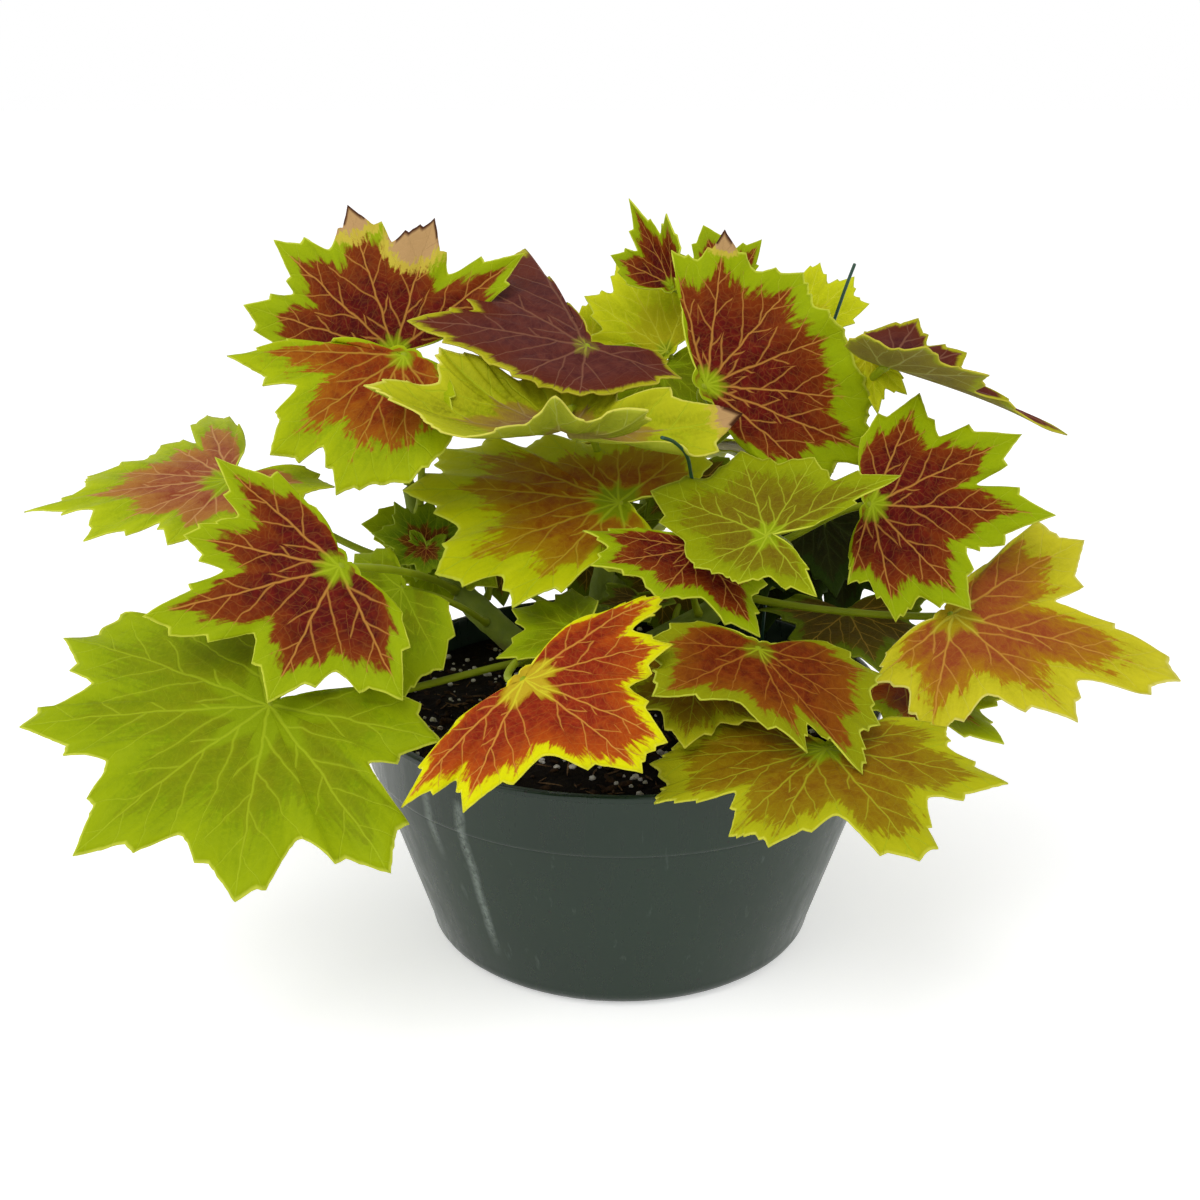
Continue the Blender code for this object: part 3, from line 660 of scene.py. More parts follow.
@dataclass
class Leaf:
    """One leaf: a lobed, veined blade on its own stalk.

    turn is the midrib's heading from +X, its droop below the horizontal and the blade's roll.
    lobes are (bearing, reach, reach of the notch after it), and teeth are (bearing, reach), all
    with reaches as shares of the size. ends are the sinus's two sides, where they aren't worked
    out from the lobes. scorched lists burnt places as (bearing, share of the way out, width in
    mm), and curled lists curled places as (bearing, width in degrees, lift in mm). belly is how
    far the blade sags between hub and margin, and solid says that the leaf has its own solid.
    """

    name: str
    hub: tuple
    turn: tuple
    size: float
    lobes: tuple
    stem: str
    joint: float
    finish: Finish = Finish.LIME
    droop: float = 4.0
    fold: float = 0.0
    bow: tuple = (0, 0, 0)
    arrive: tuple = ()
    ends: tuple = ()
    teeth: tuple = ()
    scorched: tuple = ()
    curled: tuple = ()
    ripple: float = 1.0
    belly: float = 0.0
    solid: bool = True

    def rotation(self) -> Euler:
        """Give the angles that turn the flat blade into place."""
        heading, pitch, roll = (math.radians(angle) for angle in self.turn)
        return Euler((roll, pitch, heading), "XYZ")

    def outline(self, rng: random.Random) -> list:
        """Walk round the blade's margin.

        Args:
            rng: the leaf's own source of chance.

        Returns:
            For each step its bearing in radians, its distance from the hub in mm, and the
            index of the lobe that it belongs to.
        """
        tips = [lobe[:2] for lobe in self.lobes]
        last = len(tips) - 1
        start = (tips[0][0] - SINUS_SPREAD * (tips[1][0] - tips[0][0]), NOTCH * tips[0][1])
        end = (tips[last][0] + SINUS_SPREAD * (tips[last][0] - tips[last - 1][0]), NOTCH * tips[last][1])
        start, end = self.ends or (start, end)
        notches = [start]
        for lobe, following in zip(self.lobes, self.lobes[1:]):
            reach = lobe[2] if len(lobe) > 2 else NOTCH * min(lobe[1], following[1])
            notches.append(((lobe[0] + following[0]) / 2, reach))
        notches.append(end)
        corners = [(*start, 0, "notch")]
        for index, (bearing, reach) in enumerate(tips):
            left, right = (self.shoulders(tips[index], notches[index + side], rng) for side in (0, 1))
            corners += [(*tooth, index, "tooth") for tooth in left]
            corners.append((bearing, reach, index, "tip"))
            corners += [(*tooth, index, "tooth") for tooth in reversed(right)]
            corners.append((*notches[index + 1], index, "notch"))
        middle = (start[0] + end[0]) / 2 + 180
        away = min(SINUS_TURN, (middle - end[0]) / 2)
        corners.append((end[0] + away, SINUS_SIDE, last, "notch"))
        corners.append((middle, SINUS_MIDDLE, last, "notch"))
        corners.append((start[0] + 360 - away, SINUS_SIDE, 0, "notch"))
        return self.smoothed(self.toothed(corners), rng)

    @staticmethod
    def shoulders(tip: tuple, notch: tuple, rng: random.Random) -> list:
        """Place the small teeth between a lobe's tip and a notch.

        Args:
            tip: the tip's bearing and reach.
            notch: the notch's bearing and reach.
            rng: the leaf's own source of chance.

        Returns:
            The bearing and reach of each tooth, from the notch to the tip.
        """
        turn = max(-LOBE_HALF_WIDTH, min(notch[0] - tip[0], LOBE_HALF_WIDTH))
        rise = tip[1] - notch[1]
        teeth = [(tip[0] + turn * rng.uniform(*TOOTH_PLACE), notch[1] + rise * rng.uniform(*TOOTH_RISE))]
        if rng.random() < SECOND_TOOTH:
            teeth.append((tip[0] + turn * rng.uniform(*SECOND_PLACE),
                          notch[1] + rise * rng.uniform(*SECOND_RISE)))
        return teeth

    def toothed(self, corners: list) -> list:
        """Add the leaf's own teeth to its outline, and a dip between any two points.

        Args:
            corners: the outline's corners, in order of bearing.

        Returns:
            The corners with each tooth and dip among them.
        """
        for bearing, reach in self.teeth:
            corners = [c for c in corners if c[3] != "tooth" or abs(c[0] - bearing) > TOOTH_ROOM]
            place = next(i for i, c in enumerate(corners) if c[0] > bearing)
            lobe = min(range(len(self.lobes)), key=lambda k: abs(self.lobes[k][0] - bearing))
            corners.insert(place, (bearing, reach, lobe, "tooth"))
        dipped = []
        for corner, following in zip(corners, corners[1:] + corners[:1]):
            dipped.append(corner)
            if corner[3] == "notch" or following[3] == "notch":
                continue
            low, high = sorted((corner, following), key=lambda c: c[1])
            bearing = low[0] + (high[0] - low[0]) * DIP_PLACE
            dipped.append((bearing, low[1] - TOOTH_DEPTH, low[2], "dip"))
        return dipped

    def smoothed(self, corners: list, rng: random.Random) -> list:
        """Join the outline's corners, rounding the notches.

        Args:
            corners: (bearing, reach, lobe, kind) of each corner, all the way round.
            rng: the leaf's own source of chance.

        Returns:
            For each step its bearing in radians, its distance from the hub in mm, and the
            index of the lobe that it belongs to.
        """
        steps = []
        for index, (bearing, reach, lobe, kind) in enumerate(corners):
            bearing_on, reach_on, lobe_on, kind_on = corners[(index + 1) % len(corners)]
            if index + 1 == len(corners):
                bearing_on += 360
            span = bearing_on - bearing
            length = math.hypot(math.radians(span) * (reach + reach_on) / 2, reach_on - reach) * self.size
            count = max(2, round(length / OUTLINE_STEP))
            hollow = TIP_HOLLOW * abs(reach_on - reach) if "tip" in (kind, kind_on) else 0.0
            for step in range(count):
                part = step / count
                ease = part
                if kind == "notch" and kind_on != "notch":
                    ease = part ** NOTCH_ROUNDING
                elif kind_on == "notch" and kind != "notch":
                    ease = 1 - (1 - part) ** NOTCH_ROUNDING
                bulge = hollow * 4 * part * (1 - part)
                jitter = rng.uniform(-MARGIN_JITTER, MARGIN_JITTER) if step else 0.0
                distance = (reach + (reach_on - reach) * ease - bulge + jitter) * self.size
                steps.append((math.radians(bearing + span * part), max(distance, 0.5), lobe))
        return steps

    def shaped(self, x: float, y: float, share: float, aside: float, lift: float, curl: float) -> Vector:
        """Bend a point of the flat blade and set it in its place.

        Args:
            x: mm along the midrib.
            y: mm across it.
            share: 0 at the hub to 1 at the margin.
            aside: mm from the nearest main vein.
            lift: mm by which the margin ripples up on this bearing.
            curl: mm by which the blade curls up towards it.

        Returns:
            The bent point in metres.
        """
        angle = math.radians(self.fold)
        height = (math.hypot(y, FOLD_RADIUS) - FOLD_RADIUS) * math.sin(angle)
        height -= self.droop * share * (x * x + y * y) / DROOP_AT ** 2
        height += lift * share ** 3 + curl * share ** 2 - self.belly * 4 * share * (1 - share)
        height -= VALLEY_DEPTH * math.exp(-(aside / VALLEY_WIDTH) ** 2) * share * (1 - share)
        bent = Vector((x, y * math.cos(angle), height))
        return Vector(self.hub) * MM + self.rotation().to_matrix() @ bent * MM

    def burns(self, steps: list) -> list:
        """Place what has scorched on the flat blade.

        Args:
            steps: the margin, as outline gives it.

        Returns:
            For each scorched place its X, Y and width in mm.
        """
        turns, reaches = [step[0] for step in steps], [step[1] for step in steps]
        places = []
        for bearing, place, width in self.scorched:
            turn = math.radians(bearing)
            out = place * np.interp(turn, turns, reaches)
            places.append((out * math.cos(turn), out * math.sin(turn), width))
        return places

    def curl(self, turn: float) -> float:
        """Give how far the margin curls up on a bearing.

        Args:
            turn: the bearing in radians.

        Returns:
            The curl in mm.
        """
        rise = 0.0
        for bearing, width, height in self.curled:
            off = (math.degrees(turn) - bearing + 180) % 360 - 180
            rise += height * math.exp(-(off / width) ** 2)
        return rise

    def faces(self, steps: list) -> tuple[list, list]:
        """Join the blade's points, which lie in a column for each step of the margin, with the hub last.

        Args:
            steps: the margin, as outline gives it.

        Returns:
            The faces, and for each the side of its midvein that it lies on, as 1 or -1.
        """
        faces, sides = [], []
        columns = len(steps)
        for column, (turn, _, lobe) in enumerate(steps):
            after = (column + 1) % columns
            turn_after = steps[after][0] + (0 if after else math.tau)
            sign = 1.0 if (turn + turn_after) / 2 > math.radians(self.lobes[lobe][0]) else -1.0
            faces.append((columns * RINGS, column * RINGS, after * RINGS))
            for ring in range(RINGS - 1):
                low, high = column * RINGS + ring, after * RINGS + ring
                faces.append((low, low + 1, high + 1, high))
            sides += [sign] * RINGS
        return faces, sides

    def blade(self) -> bpy.types.Object:
        """Build the blade.

        Returns:
            The blade, in place, with the attributes that its finish reads.
        """
        rng = random.Random(self.name)
        steps = self.outline(rng)
        tilts = [rng.uniform(-LOBE_TILT, LOBE_TILT) * self.ripple for _ in self.lobes]
        phase = rng.uniform(0, 6.28)
        scale = TYPICAL_REACH / self.size
        shift = Vector((rng.uniform(0, PATTERN_SHIFT), rng.uniform(0, PATTERN_SHIFT), 0))
        burns = self.burns(steps)
        points, lobe_data, flat_data, scorch_data = [], [], [], []
        travelled = 0.0
        short, long = RIPPLE_WAVES
        for column, (turn, reach, lobe) in enumerate(steps):
            last_turn, last_reach, _ = steps[column - 1]
            travelled += math.dist((reach * math.cos(turn), reach * math.sin(turn)),
                                   (last_reach * math.cos(last_turn), last_reach * math.sin(last_turn)))
            away = turn - math.radians(self.lobes[lobe][0])
            lift = tilts[lobe] * max(0.0, math.cos(min(abs(away) * LOBE_TAPER, math.pi / 2)))
            waves = math.sin(travelled / short + phase) + math.sin(travelled / long + 2 * phase)
            lift += self.ripple * RIPPLE_HEIGHT * waves
            curl = self.curl(turn)
            for ring in range(1, RINGS + 1):
                share = (ring / RINGS) ** RING_CROWDING
                radius = share * reach
                x, y = radius * math.cos(turn), radius * math.sin(turn)
                aside = abs(radius * math.sin(away)) if math.cos(away) > 0 else radius
                points.append(self.shaped(x, y, share, aside, lift, curl))
                lobe_data.append((radius * math.cos(away) * scale, aside * scale, share))
                flat_data.append((x * scale + shift.x, y * scale + shift.y, radius * scale))
                burnt = (SCORCH_CORE - SCORCH_FADE * math.dist((x, y), burn[:2]) / burn[2] for burn in burns)
                scorch_data.append(max(burnt, default=UNBURNT))
        points.append(self.shaped(0, 0, 0, 0, 0, 0))
        lobe_data.append((0, 0, 0))
        flat_data.append((shift.x, shift.y, 0))
        scorch_data.append(UNBURNT)
        faces, sides = self.faces(steps)
        obj = mesh_object(self.name.replace("leaf_", "blade_"), points, faces)
        for name, kind, domain, field, values in (
                ("lobe", "FLOAT_VECTOR", "POINT", "vector", np.ravel(lobe_data)),
                ("flat", "FLOAT_VECTOR", "POINT", "vector", np.ravel(flat_data)),
                ("scorch", "FLOAT", "POINT", "value", scorch_data),
                ("side", "FLOAT", "FACE", "value", sides)):
            obj.data.attributes.new(name, kind, domain).data.foreach_set(field, values)
        solid = obj.modifiers.new("Thickness", "SOLIDIFY")
        solid.thickness = BLADE_THICKNESS
        solid.offset = 0
        solid.material_offset = 1
        return obj

    def petiole(self) -> bpy.types.Object:
        """Build the stalk, from its stem to the blade's hub.

        Returns:
            The stalk.
        """
        turn = self.rotation().to_matrix()
        sinus = math.radians((self.lobes[0][0] + self.lobes[-1][0]) / 2 + 180)
        hub = Vector(self.hub) * MM
        behind = turn @ Vector((HUB_BACK * math.cos(sinus), HUB_BACK * math.sin(sinus), -HUB_BELOW))
        if self.arrive:
            behind = Vector(self.arrive)
        root, radius, along = STEMS[self.stem].at(self.joint)
        span = (hub - root).length
        out = hub - root
        out = (out - out.dot(along) * along).normalized() if self.joint < 1 else along
        start = root + out * ((radius if self.joint < 1 else 0) + GAP)
        push = Vector(self.bow) * MM
        leave = start + (out + Vector((0, 0, ROOT_RISE))) * span * ROOT_PULL + push
        meet = hub + behind * span * HUB_PULL + push
        controls = (start, leave, meet, hub - turn @ Vector((0, 0, BLADE_THICKNESS)))
        thickness = min(1.0, SMALL_STALK + self.size / FULL_STALK)
        (wider, ends), (wider_on, ends_on) = FLARES
        points, radii = [], []
        for index in range(PETIOLE_POINTS):
            part = index / (PETIOLE_POINTS - 1)
            flare = wider * math.exp(-part * ends) + wider_on * math.exp(-(1 - part) * ends_on)
            points.append(bezier(controls, part))
            radii.append(PETIOLE_RADIUS * (SLIMNESS + flare) * thickness)
        return tube(self.name + "_petiole", points, radii, 10)

    def build(self) -> None:
        """Build the blade and its stalk and attach both."""
        finish = self.finish.value
        piece = Piece(self.name.replace("leaf_", "blade_"), finish.slot, (self.name,) if self.solid else ())
        piece.settle(self.blade(), finish.material(), finish.underside().material())
        stalk = Piece(self.name.replace("leaf_", "petiole_"), Slot.STEM)
        stalk.settle(self.petiole(), PetioleSkin().material())


LEAVES = (
    # front and left
    Leaf("leaf_low_left", (-98, -70, 102), (-140, 21, -20), 64,
         ((-118, 0.8, 0.74), (-71, 1.16, 0.84), (-43, 1.1, 0.71), (-2, 1.0, 0.69), (44, 0.93, 0.7),
          (82, 0.98, 0.55), (123, 0.77)), "left", 0.2, droop=3,
         teeth=((-83, 1.0), (-49, 1.05), (52, 0.9), (94, 0.86))),
    Leaf("leaf_maroon_left", (-80, -48, 135), (-165, 11, -43), 56,
         ((-61, 0.93, 0.6), (-31, 0.82, 0.58), (-1, 0.99, 0.54), (50, 0.8, 0.57), (98, 0.8)),
         "left", 0.55, Finish.MAROON, droop=1, ends=((-84, 0.38), (124, 0.42))),
    Leaf("leaf_behind_left", (-67, -15, 117), (-140, 32, -17), 36,
         ((-95, 0.7), (-45, 0.95), (0, 0.92, 0.74), (45, 1.06, 0.9), (67, 0.94)), "left", 0.4,
         ends=((-122, 0.5), (104, 0.5))),
    Leaf("leaf_far_left", (-122, 10, 144), (-165, 11, -14), 58,
         ((-88, 1.05, 0.6), (-66, 0.8, 0.7), (-38, 0.96, 0.88), (-21, 1.2, 0.74), (7, 0.82, 0.46),
          (50, 0.6), (105, 0.6), (150, 0.6)), "left", 0.7, Finish.PINK),
    Leaf("leaf_top_left", (-72, 35, 179), (130, -62, -46), 52,
         ((-71, 1.0, 0.58), (-34, 0.86, 0.68), (1, 0.98, 0.78), (30, 1.1, 0.78), (54, 1.04)), "left", 1.0,
         Finish.MAROON, ends=((-83, 0.62), (84, 0.6)), teeth=((39, 0.86), (62, 0.94), (8, 0.87), (-29, 0.8)),
         scorched=((-34, 0.97, 9), (-27, 0.93, 8), (1, 0.99, 9))),
    Leaf("leaf_brick_left", (-67, 15, 182), (-155, 29, -32), 52,
         ((-48, 1.18, 0.66), (-2, 0.97, 0.73), (31, 0.96, 0.85), (58, 0.86, 0.76), (84, 0.68)), "left", 0.88,
         Finish.BRICK, bow=(-4, 2, 0), ends=((-58, 0.5), (118, 0.31)), teeth=((9, 0.88),)),
    Leaf("leaf_front_red", (-27, -78, 113), (-24, 14, 27), 44,
         ((-103, 1.08, 0.76), (-83, 0.95, 0.56), (-12, 0.93, 0.87), (4, 0.95, 0.64), (50, 1.0, 0.8),
          (72, 1.26)), "centre", 0.15, Finish.VIVID, droop=8, ends=((-114, 0.56), (82, 0.72))),
    # middle
    Leaf("leaf_front_small", (-12, -38, 112), (-165, 8, -20), 26, FIVE, "centre", 0.35),
    Leaf("leaf_front_centre", (-1, -5, 141), (-155, 13, -21), 60,
         ((-160, 0.7, 0.6), (-118, 0.56, 0.54), (-86, 0.72, 0.7), (-62, 1.24, 1.02), (-42, 1.17, 0.82),
          (-4, 1.0, 0.74), (25, 0.86, 0.46), (70, 0.5)), "centre", 0.75, Finish.OCHRE,
         teeth=((6, 0.93),), curled=((-160, 20, 3),)),
    Leaf("leaf_cupped", (-17, -8, 167), (180, -4, 0), 60,
         ((-166, 0.92), (-112, 0.5), (-72, 0.48, 0.42), (-33, 0.8, 0.68), (0, 1.0, 0.74), (40, 0.75),
          (85, 0.58), (130, 0.6)), "centre", 0.9, Finish.CUPPED, fold=19, droop=0, arrive=(0.1, 0.95, -0.1),
         bow=(0, 6, 10), belly=3.5, ripple=0.8, scorched=((-166, 0.98, 7),),
         curled=((-33, 20, 6), (-75, 20, 2), (-115, 22, 3), (-150, 10, 4), (0, 12, 6), (44, 20, -8),
                 (84, 8, 5), (128, 18, 2), (172, 14, -7))),
    Leaf("leaf_flat_top", (-11, 20, 184), (180, -9, -26), 57,
         ((-66, 1.03, 0.92), (-36, 1.05, 0.68), (-5, 0.99, 0.58), (45, 0.52, 0.4), (90, 0.42, 0.38),
          (167, 0.55)), "centre", 1.0, Finish.PURPLE, ends=((-71, 0.45), (188, 0.4))),
    Leaf("leaf_shaded_centre", (5, 2, 108), (-125, 15, 0), 16, FIVE, "centre", 0.5, Finish.SHADED),
    # right
    Leaf("leaf_upright_right", (26, 15, 173), (25, -35, 58), 50,
         ((-81, 0.98, 0.94), (-63, 1.27, 1.03), (-45, 1.08, 0.96), (-19, 0.95, 0.84), (8, 0.98, 0.81),
          (41, 1.0, 0.8), (62, 0.88)), "right", 1.0, Finish.MAROON, droop=2, ends=((-97, 0.56), (65, 0.5)),
         scorched=((41, 0.96, 5),), curled=((-12, 10, 4),)),
    Leaf("leaf_green_right", (41, -38, 141), (-158, 27, -18), 38,
         ((-186, 1.15, 0.72), (-150, 0.86, 0.8), (-112, 1.1, 0.95), (-73, 1.24, 0.66), (-14, 0.6, 0.46),
          (30, 0.5, 0.42), (84, 0.76)), "right", 0.8, Finish.OLIVE, ends=((-203, 0.4), (98, 0.36))),
    Leaf("leaf_small_maroon", (23, -24, 133), (-122, 21, -25), 34,
         ((-61, 1.04, 0.84), (-39, 1.04, 0.68), (-2, 0.72, 0.58), (58, 1.03, 0.62), (94, 0.66)),
         "right", 0.45, Finish.MAROON, droop=1, ends=((-74, 0.58), (106, 0.4))),
    Leaf("leaf_drooping", (38, -53, 112), (-68, 31, 0), 40,
         ((-108, 0.8, 0.74), (-74, 0.96, 0.5), (0, 0.9, 0.68), (17, 1.17, 0.93), (40, 1.0, 0.84), (67, 0.92)),
         "right", 0.4, Finish.DEEP, droop=2, ends=((-136, 0.48), (88, 0.55))),
    Leaf("leaf_under_drooping", (22, -42, 100), (-100, 15, 0), 32, FIVE, "right", 0.2, Finish.YELLOW),
    Leaf("leaf_low_right", (56, -70, 89), (-117, 12, -4), 50,
         ((-92, 0.8, 0.74), (-65, 0.98, 0.9), (-43, 1.03, 0.64), (-16, 0.86, 0.78), (0, 0.86, 0.58),
          (51, 0.94, 0.66), (101, 1.0, 0.68), (135, 0.76)), "right", 0.3, Finish.YELLOW,
         teeth=((40, 0.83), (60, 0.91))),
    Leaf("leaf_star_right", (75, -10, 142), (-38, 39, 40), 46,
         ((-56, 0.58, 0.52), (-29, 0.8, 0.68), (3, 0.94, 0.67), (50, 1.22, 0.72), (79, 1.16, 0.68),
          (118, 0.9)), "right", 0.8, Finish.MAROON, ends=((-61, 0.42), (148, 0.48)), teeth=((28, 0.76),)),
    Leaf("leaf_brick_right", (99, -22, 111), (-47, 26, 18), 54,
         ((-84, 0.68, 0.6), (-53, 0.88, 0.55), (4, 0.9, 0.76), (38, 1.3, 0.62), (90, 1.15)),
         "right", 0.6, Finish.GOLD, ends=((-94, 0.48), (110, 0.5)),
         teeth=((30, 1.15), (46, 1.25), (104, 1.03))),
    Leaf("leaf_under_brick", (86, -20, 90), (-45, 14, 0), 38, FIVE, "right", 0.35, Finish.BRICK),
    Leaf("leaf_shaded_right", (72, 6, 102), (-80, 12, 0), 34, FIVE, "right", 0.6, Finish.SHADED),
    Leaf("leaf_behind_star", (66, 32, 126), (-80, 50, 0), 29, FIVE, "right", 0.5, Finish.DARK),
    Leaf("leaf_right_edge", (82, 20, 178), (-14, 14, 0), 59,
         ((-112, 0.4, 0.36), (-70, 0.5, 0.42), (-34, 0.62, 0.5), (0, 1.0, 0.4), (40, 0.5, 0.34), (80, 0.46)),
         "right", 0.92, Finish.PURPLE, fold=33, droop=3, bow=(6, 12, 0), ends=((-140, 0.3), (125, 0.3))),
    Leaf("leaf_right_lime", (78, 27, 180), (-84, 70, 0), 19,
         ((-88, 0.7), (-40, 0.8), (4, 1.0), (40, 0.9), (84, 0.6)), "right", 0.9, Finish.BRIGHT, droop=1,
         solid=False),
    # behind the tallest leaves
    Leaf("leaf_back_yellow", (15, 48, 177), (133, -48, -44), 34,
         ((-48, 0.9, 0.75), (-1, 1.12, 0.82), (26, 1.0, 0.66), (58, 0.98, 0.7), (85, 0.86)), "back", 0.93,
         Finish.BRIGHT),
    Leaf("leaf_back_green", (-10, 60, 174), (81, -54, 8), 21, FIVE, "back", 0.85, Finish.BRIGHT),
    Leaf("leaf_folded", (16, 42, 199), (139, -57, -76), 31,
         ((-42, 0.8), (0, 1.0), (42, 0.75)), "centre", 0.95, Finish.MAROON, fold=40, droop=0, bow=(8, 6, 0)),
    Leaf("leaf_back_maroon", (34, 50, 194), (120, -59, -19), 26,
         ((-86, 0.55), (-46, 0.95), (0, 1.0), (46, 0.95), (86, 0.55)), "back", 1.0, Finish.MAROON,
         arrive=(0.2, 0.8, -0.5), bow=(8, 8, 0)),
    Leaf("leaf_back_lime", (58, 48, 184), (62, -50, 28), 26,
         ((-95, 0.7), (-48, 1.02, 0.88), (-26, 1.08, 0.8), (0, 1.0), (48, 0.9), (92, 0.5)), "back", 0.9,
         Finish.BRIGHT),
    # leaves between the stems that fill its dark gaps, most with shade painted into their colour
    Leaf("leaf_inner_centre", (-10, 38, 120), (-96, 50, 0), 28,
         FIVE, "centre", 0.6, Finish.SHADED, solid=False),
    Leaf("leaf_inner_shoot", (-60, 27, 121), (-92, 48, 0), 30,
         FIVE, "left", 0.45, Finish.LIME, solid=False),
    Leaf("leaf_inner_left", (-41, 42, 115), (-80, 55, 10), 24,
         FIVE, "left", 0.45, Finish.SHADED, solid=False),
    Leaf("leaf_inner_right", (22, 34, 138), (-84, 56, 0), 22,
         FIVE, "centre", 0.8, Finish.SHADED, solid=False),
    Leaf("leaf_inner_low", (43, 30, 116), (-90, 50, 0), 24,
         FIVE, "right", 0.35, Finish.DARK, solid=False),
    Leaf("leaf_inner_dark", (60, 38, 118), (-70, 62, 0), 27,
         FIVE, "right", 0.3, Finish.DARK, solid=False),
    Leaf("leaf_inner_deep", (50, 50, 107), (-92, 72, 0), 28,
         FIVE, "right", 0.25, Finish.DARK, solid=False),
    Leaf("leaf_inner_side", (75, 44, 113), (-88, 74, 0), 27,
         FIVE, "right", 0.45, Finish.DARK, solid=False),
    Leaf("leaf_inner_front", (14, 22, 109), (-94, 60, 0), 22,
         FIVE, "centre", 0.25, Finish.SHADED, solid=False),
    Leaf("leaf_inner_top", (14, 47, 172), (-88, 60, 0), 25,
         FIVE, "back", 0.9, Finish.LIME, solid=False),
    # round the back
    Leaf("leaf_rear_left", (-25, 80, 130), (112, 24, 0), 50, SEVEN, "back", 0.62, Finish.BRICK),
    Leaf("leaf_rear_middle", (24, 92, 136), (82, 20, 0), 52, SEVEN, "back", 0.75, Finish.MAROON),
    Leaf("leaf_rear_right", (66, 68, 130), (40, 24, 0), 50, FIVE, "back", 0.55, Finish.MAROON),
    Leaf("leaf_rear_side", (90, 44, 114), (10, 24, 0), 40, FIVE, "right", 0.4, Finish.FAINT),
    Leaf("leaf_rear_low", (-12, 92, 102), (108, 30, 0), 46, FIVE, "back", 0.32, Finish.FAINT),
    Leaf("leaf_rear_low_right", (50, 86, 94), (52, 32, 0), 42, FIVE, "back", 0.42, Finish.OCHRE),
    Leaf("leaf_rear_low_left", (-44, 60, 98), (140, 26, 0), 36, FIVE, "back", 0.2),
    Leaf("leaf_rear_top", (2, 74, 156), (98, 20, 0), 30, FIVE, "back", 0.8, Finish.BRICK),
)

LEAFLETS = (
    Leaf("leaflet_left", (-62, 8, 123), (150, -48, -22), 17, SEVEN, "left", 0.5, Finish.YOUNG, droop=1),
    Leaf("leaflet_right", (-60, 9, 123), (40, -36, 30), 16, SEVEN, "left", 0.5, Finish.YOUNG, droop=1),
    Leaf("leaflet_front", (-61, 6, 123), (-95, 34, 0), 11, SEVEN, "left", 0.5, Finish.YOUNG, droop=1),
)


@dataclass(frozen=True)
class PetioleSkin:
    """Living stalk: yellow-green in soft patches, with a fine down that dulls it."""

    name: str = "petiole_skin"
    dark: str = "#7A8A06"
    pale: str = "#A2B018"
    patches: float = 9.0
    down: float = 0.6  # coarser than life, so that it shows

    def material(self) -> bpy.types.Material:
        """Build the finish.

        Returns:
            The material, made once.
        """
        found = bpy.data.materials.get(self.name)
        if found:
            return found
        g = Graph(bpy.data.materials.new(self.name))
        where = g.add("TexCoord").outputs["Object"]
        patches = g.add("TexNoise", where, 1 / (self.patches * MM), 3.0)
        down = g.add("TexNoise", where, 1 / (self.down * MM), 3.0)
        colour = g.add("Mix", patches, linear(self.dark), linear(self.pale), data_type="RGBA")
        bump = g.add("Bump", 0.3, 0.2 * MM, None, down)
        return g.surface(Base_Color=colour, Roughness=0.5, Normal=bump, Specular_IOR_Level=0.2,
                         Subsurface_Weight=0.2, Subsurface_Radius=(0.6, 1.0, 0.2), Subsurface_Scale=1 * MM)


@dataclass(frozen=True)
class StemSkin:
    """Living stem: green above, and cracked, corky and brown towards the crown."""

    name: str = "stem_skin"
    dark: str = "#5A6E0A"
    pale: str = "#8C9C1C"
    cork_dark: str = "#3E2E1C"
    cork_pale: str = "#8A7048"
    patches: float = 7.0
    cracks: float = 1.2
    cork_top: tuple = (90.0, 104.0)  # heights between which cork gives way to green
    cork_ragged: float = 30.0  # by how much the patches move that up or down

    def material(self) -> bpy.types.Material:
        """Build the finish.

        Returns:
            The material.
        """
        g = Graph(bpy.data.materials.new(self.name))
        where = g.add("TexCoord").outputs["Object"]
        height = g.add("SeparateXYZ", where).outputs[2]
        patches = g.add("TexNoise", where, 1 / (self.patches * MM), 4.0)
        cork = g.add("TexNoise", where, 1 / (self.cracks * MM), 5.0, 0.7)
        level = g.add("Math", patches, self.cork_ragged * MM, height, operation="MULTIPLY_ADD")
        green = g.add("Mix", patches, linear(self.dark), linear(self.pale), data_type="RGBA")
        brown = g.add("Mix", cork, linear(self.cork_dark), linear(self.cork_pale), data_type="RGBA")
        green_above = g.add("MapRange", level, *(high * MM for high in self.cork_top))
        colour = g.add("Mix", green_above, brown, green, data_type="RGBA")
        bump = g.add("Bump", 0.5, 0.5 * MM, None, cork)
        rough = g.add("MapRange", cork, 0.3, 0.7, 0.5, 0.8)
        return g.surface(Base_Color=colour, Roughness=rough, Normal=bump)


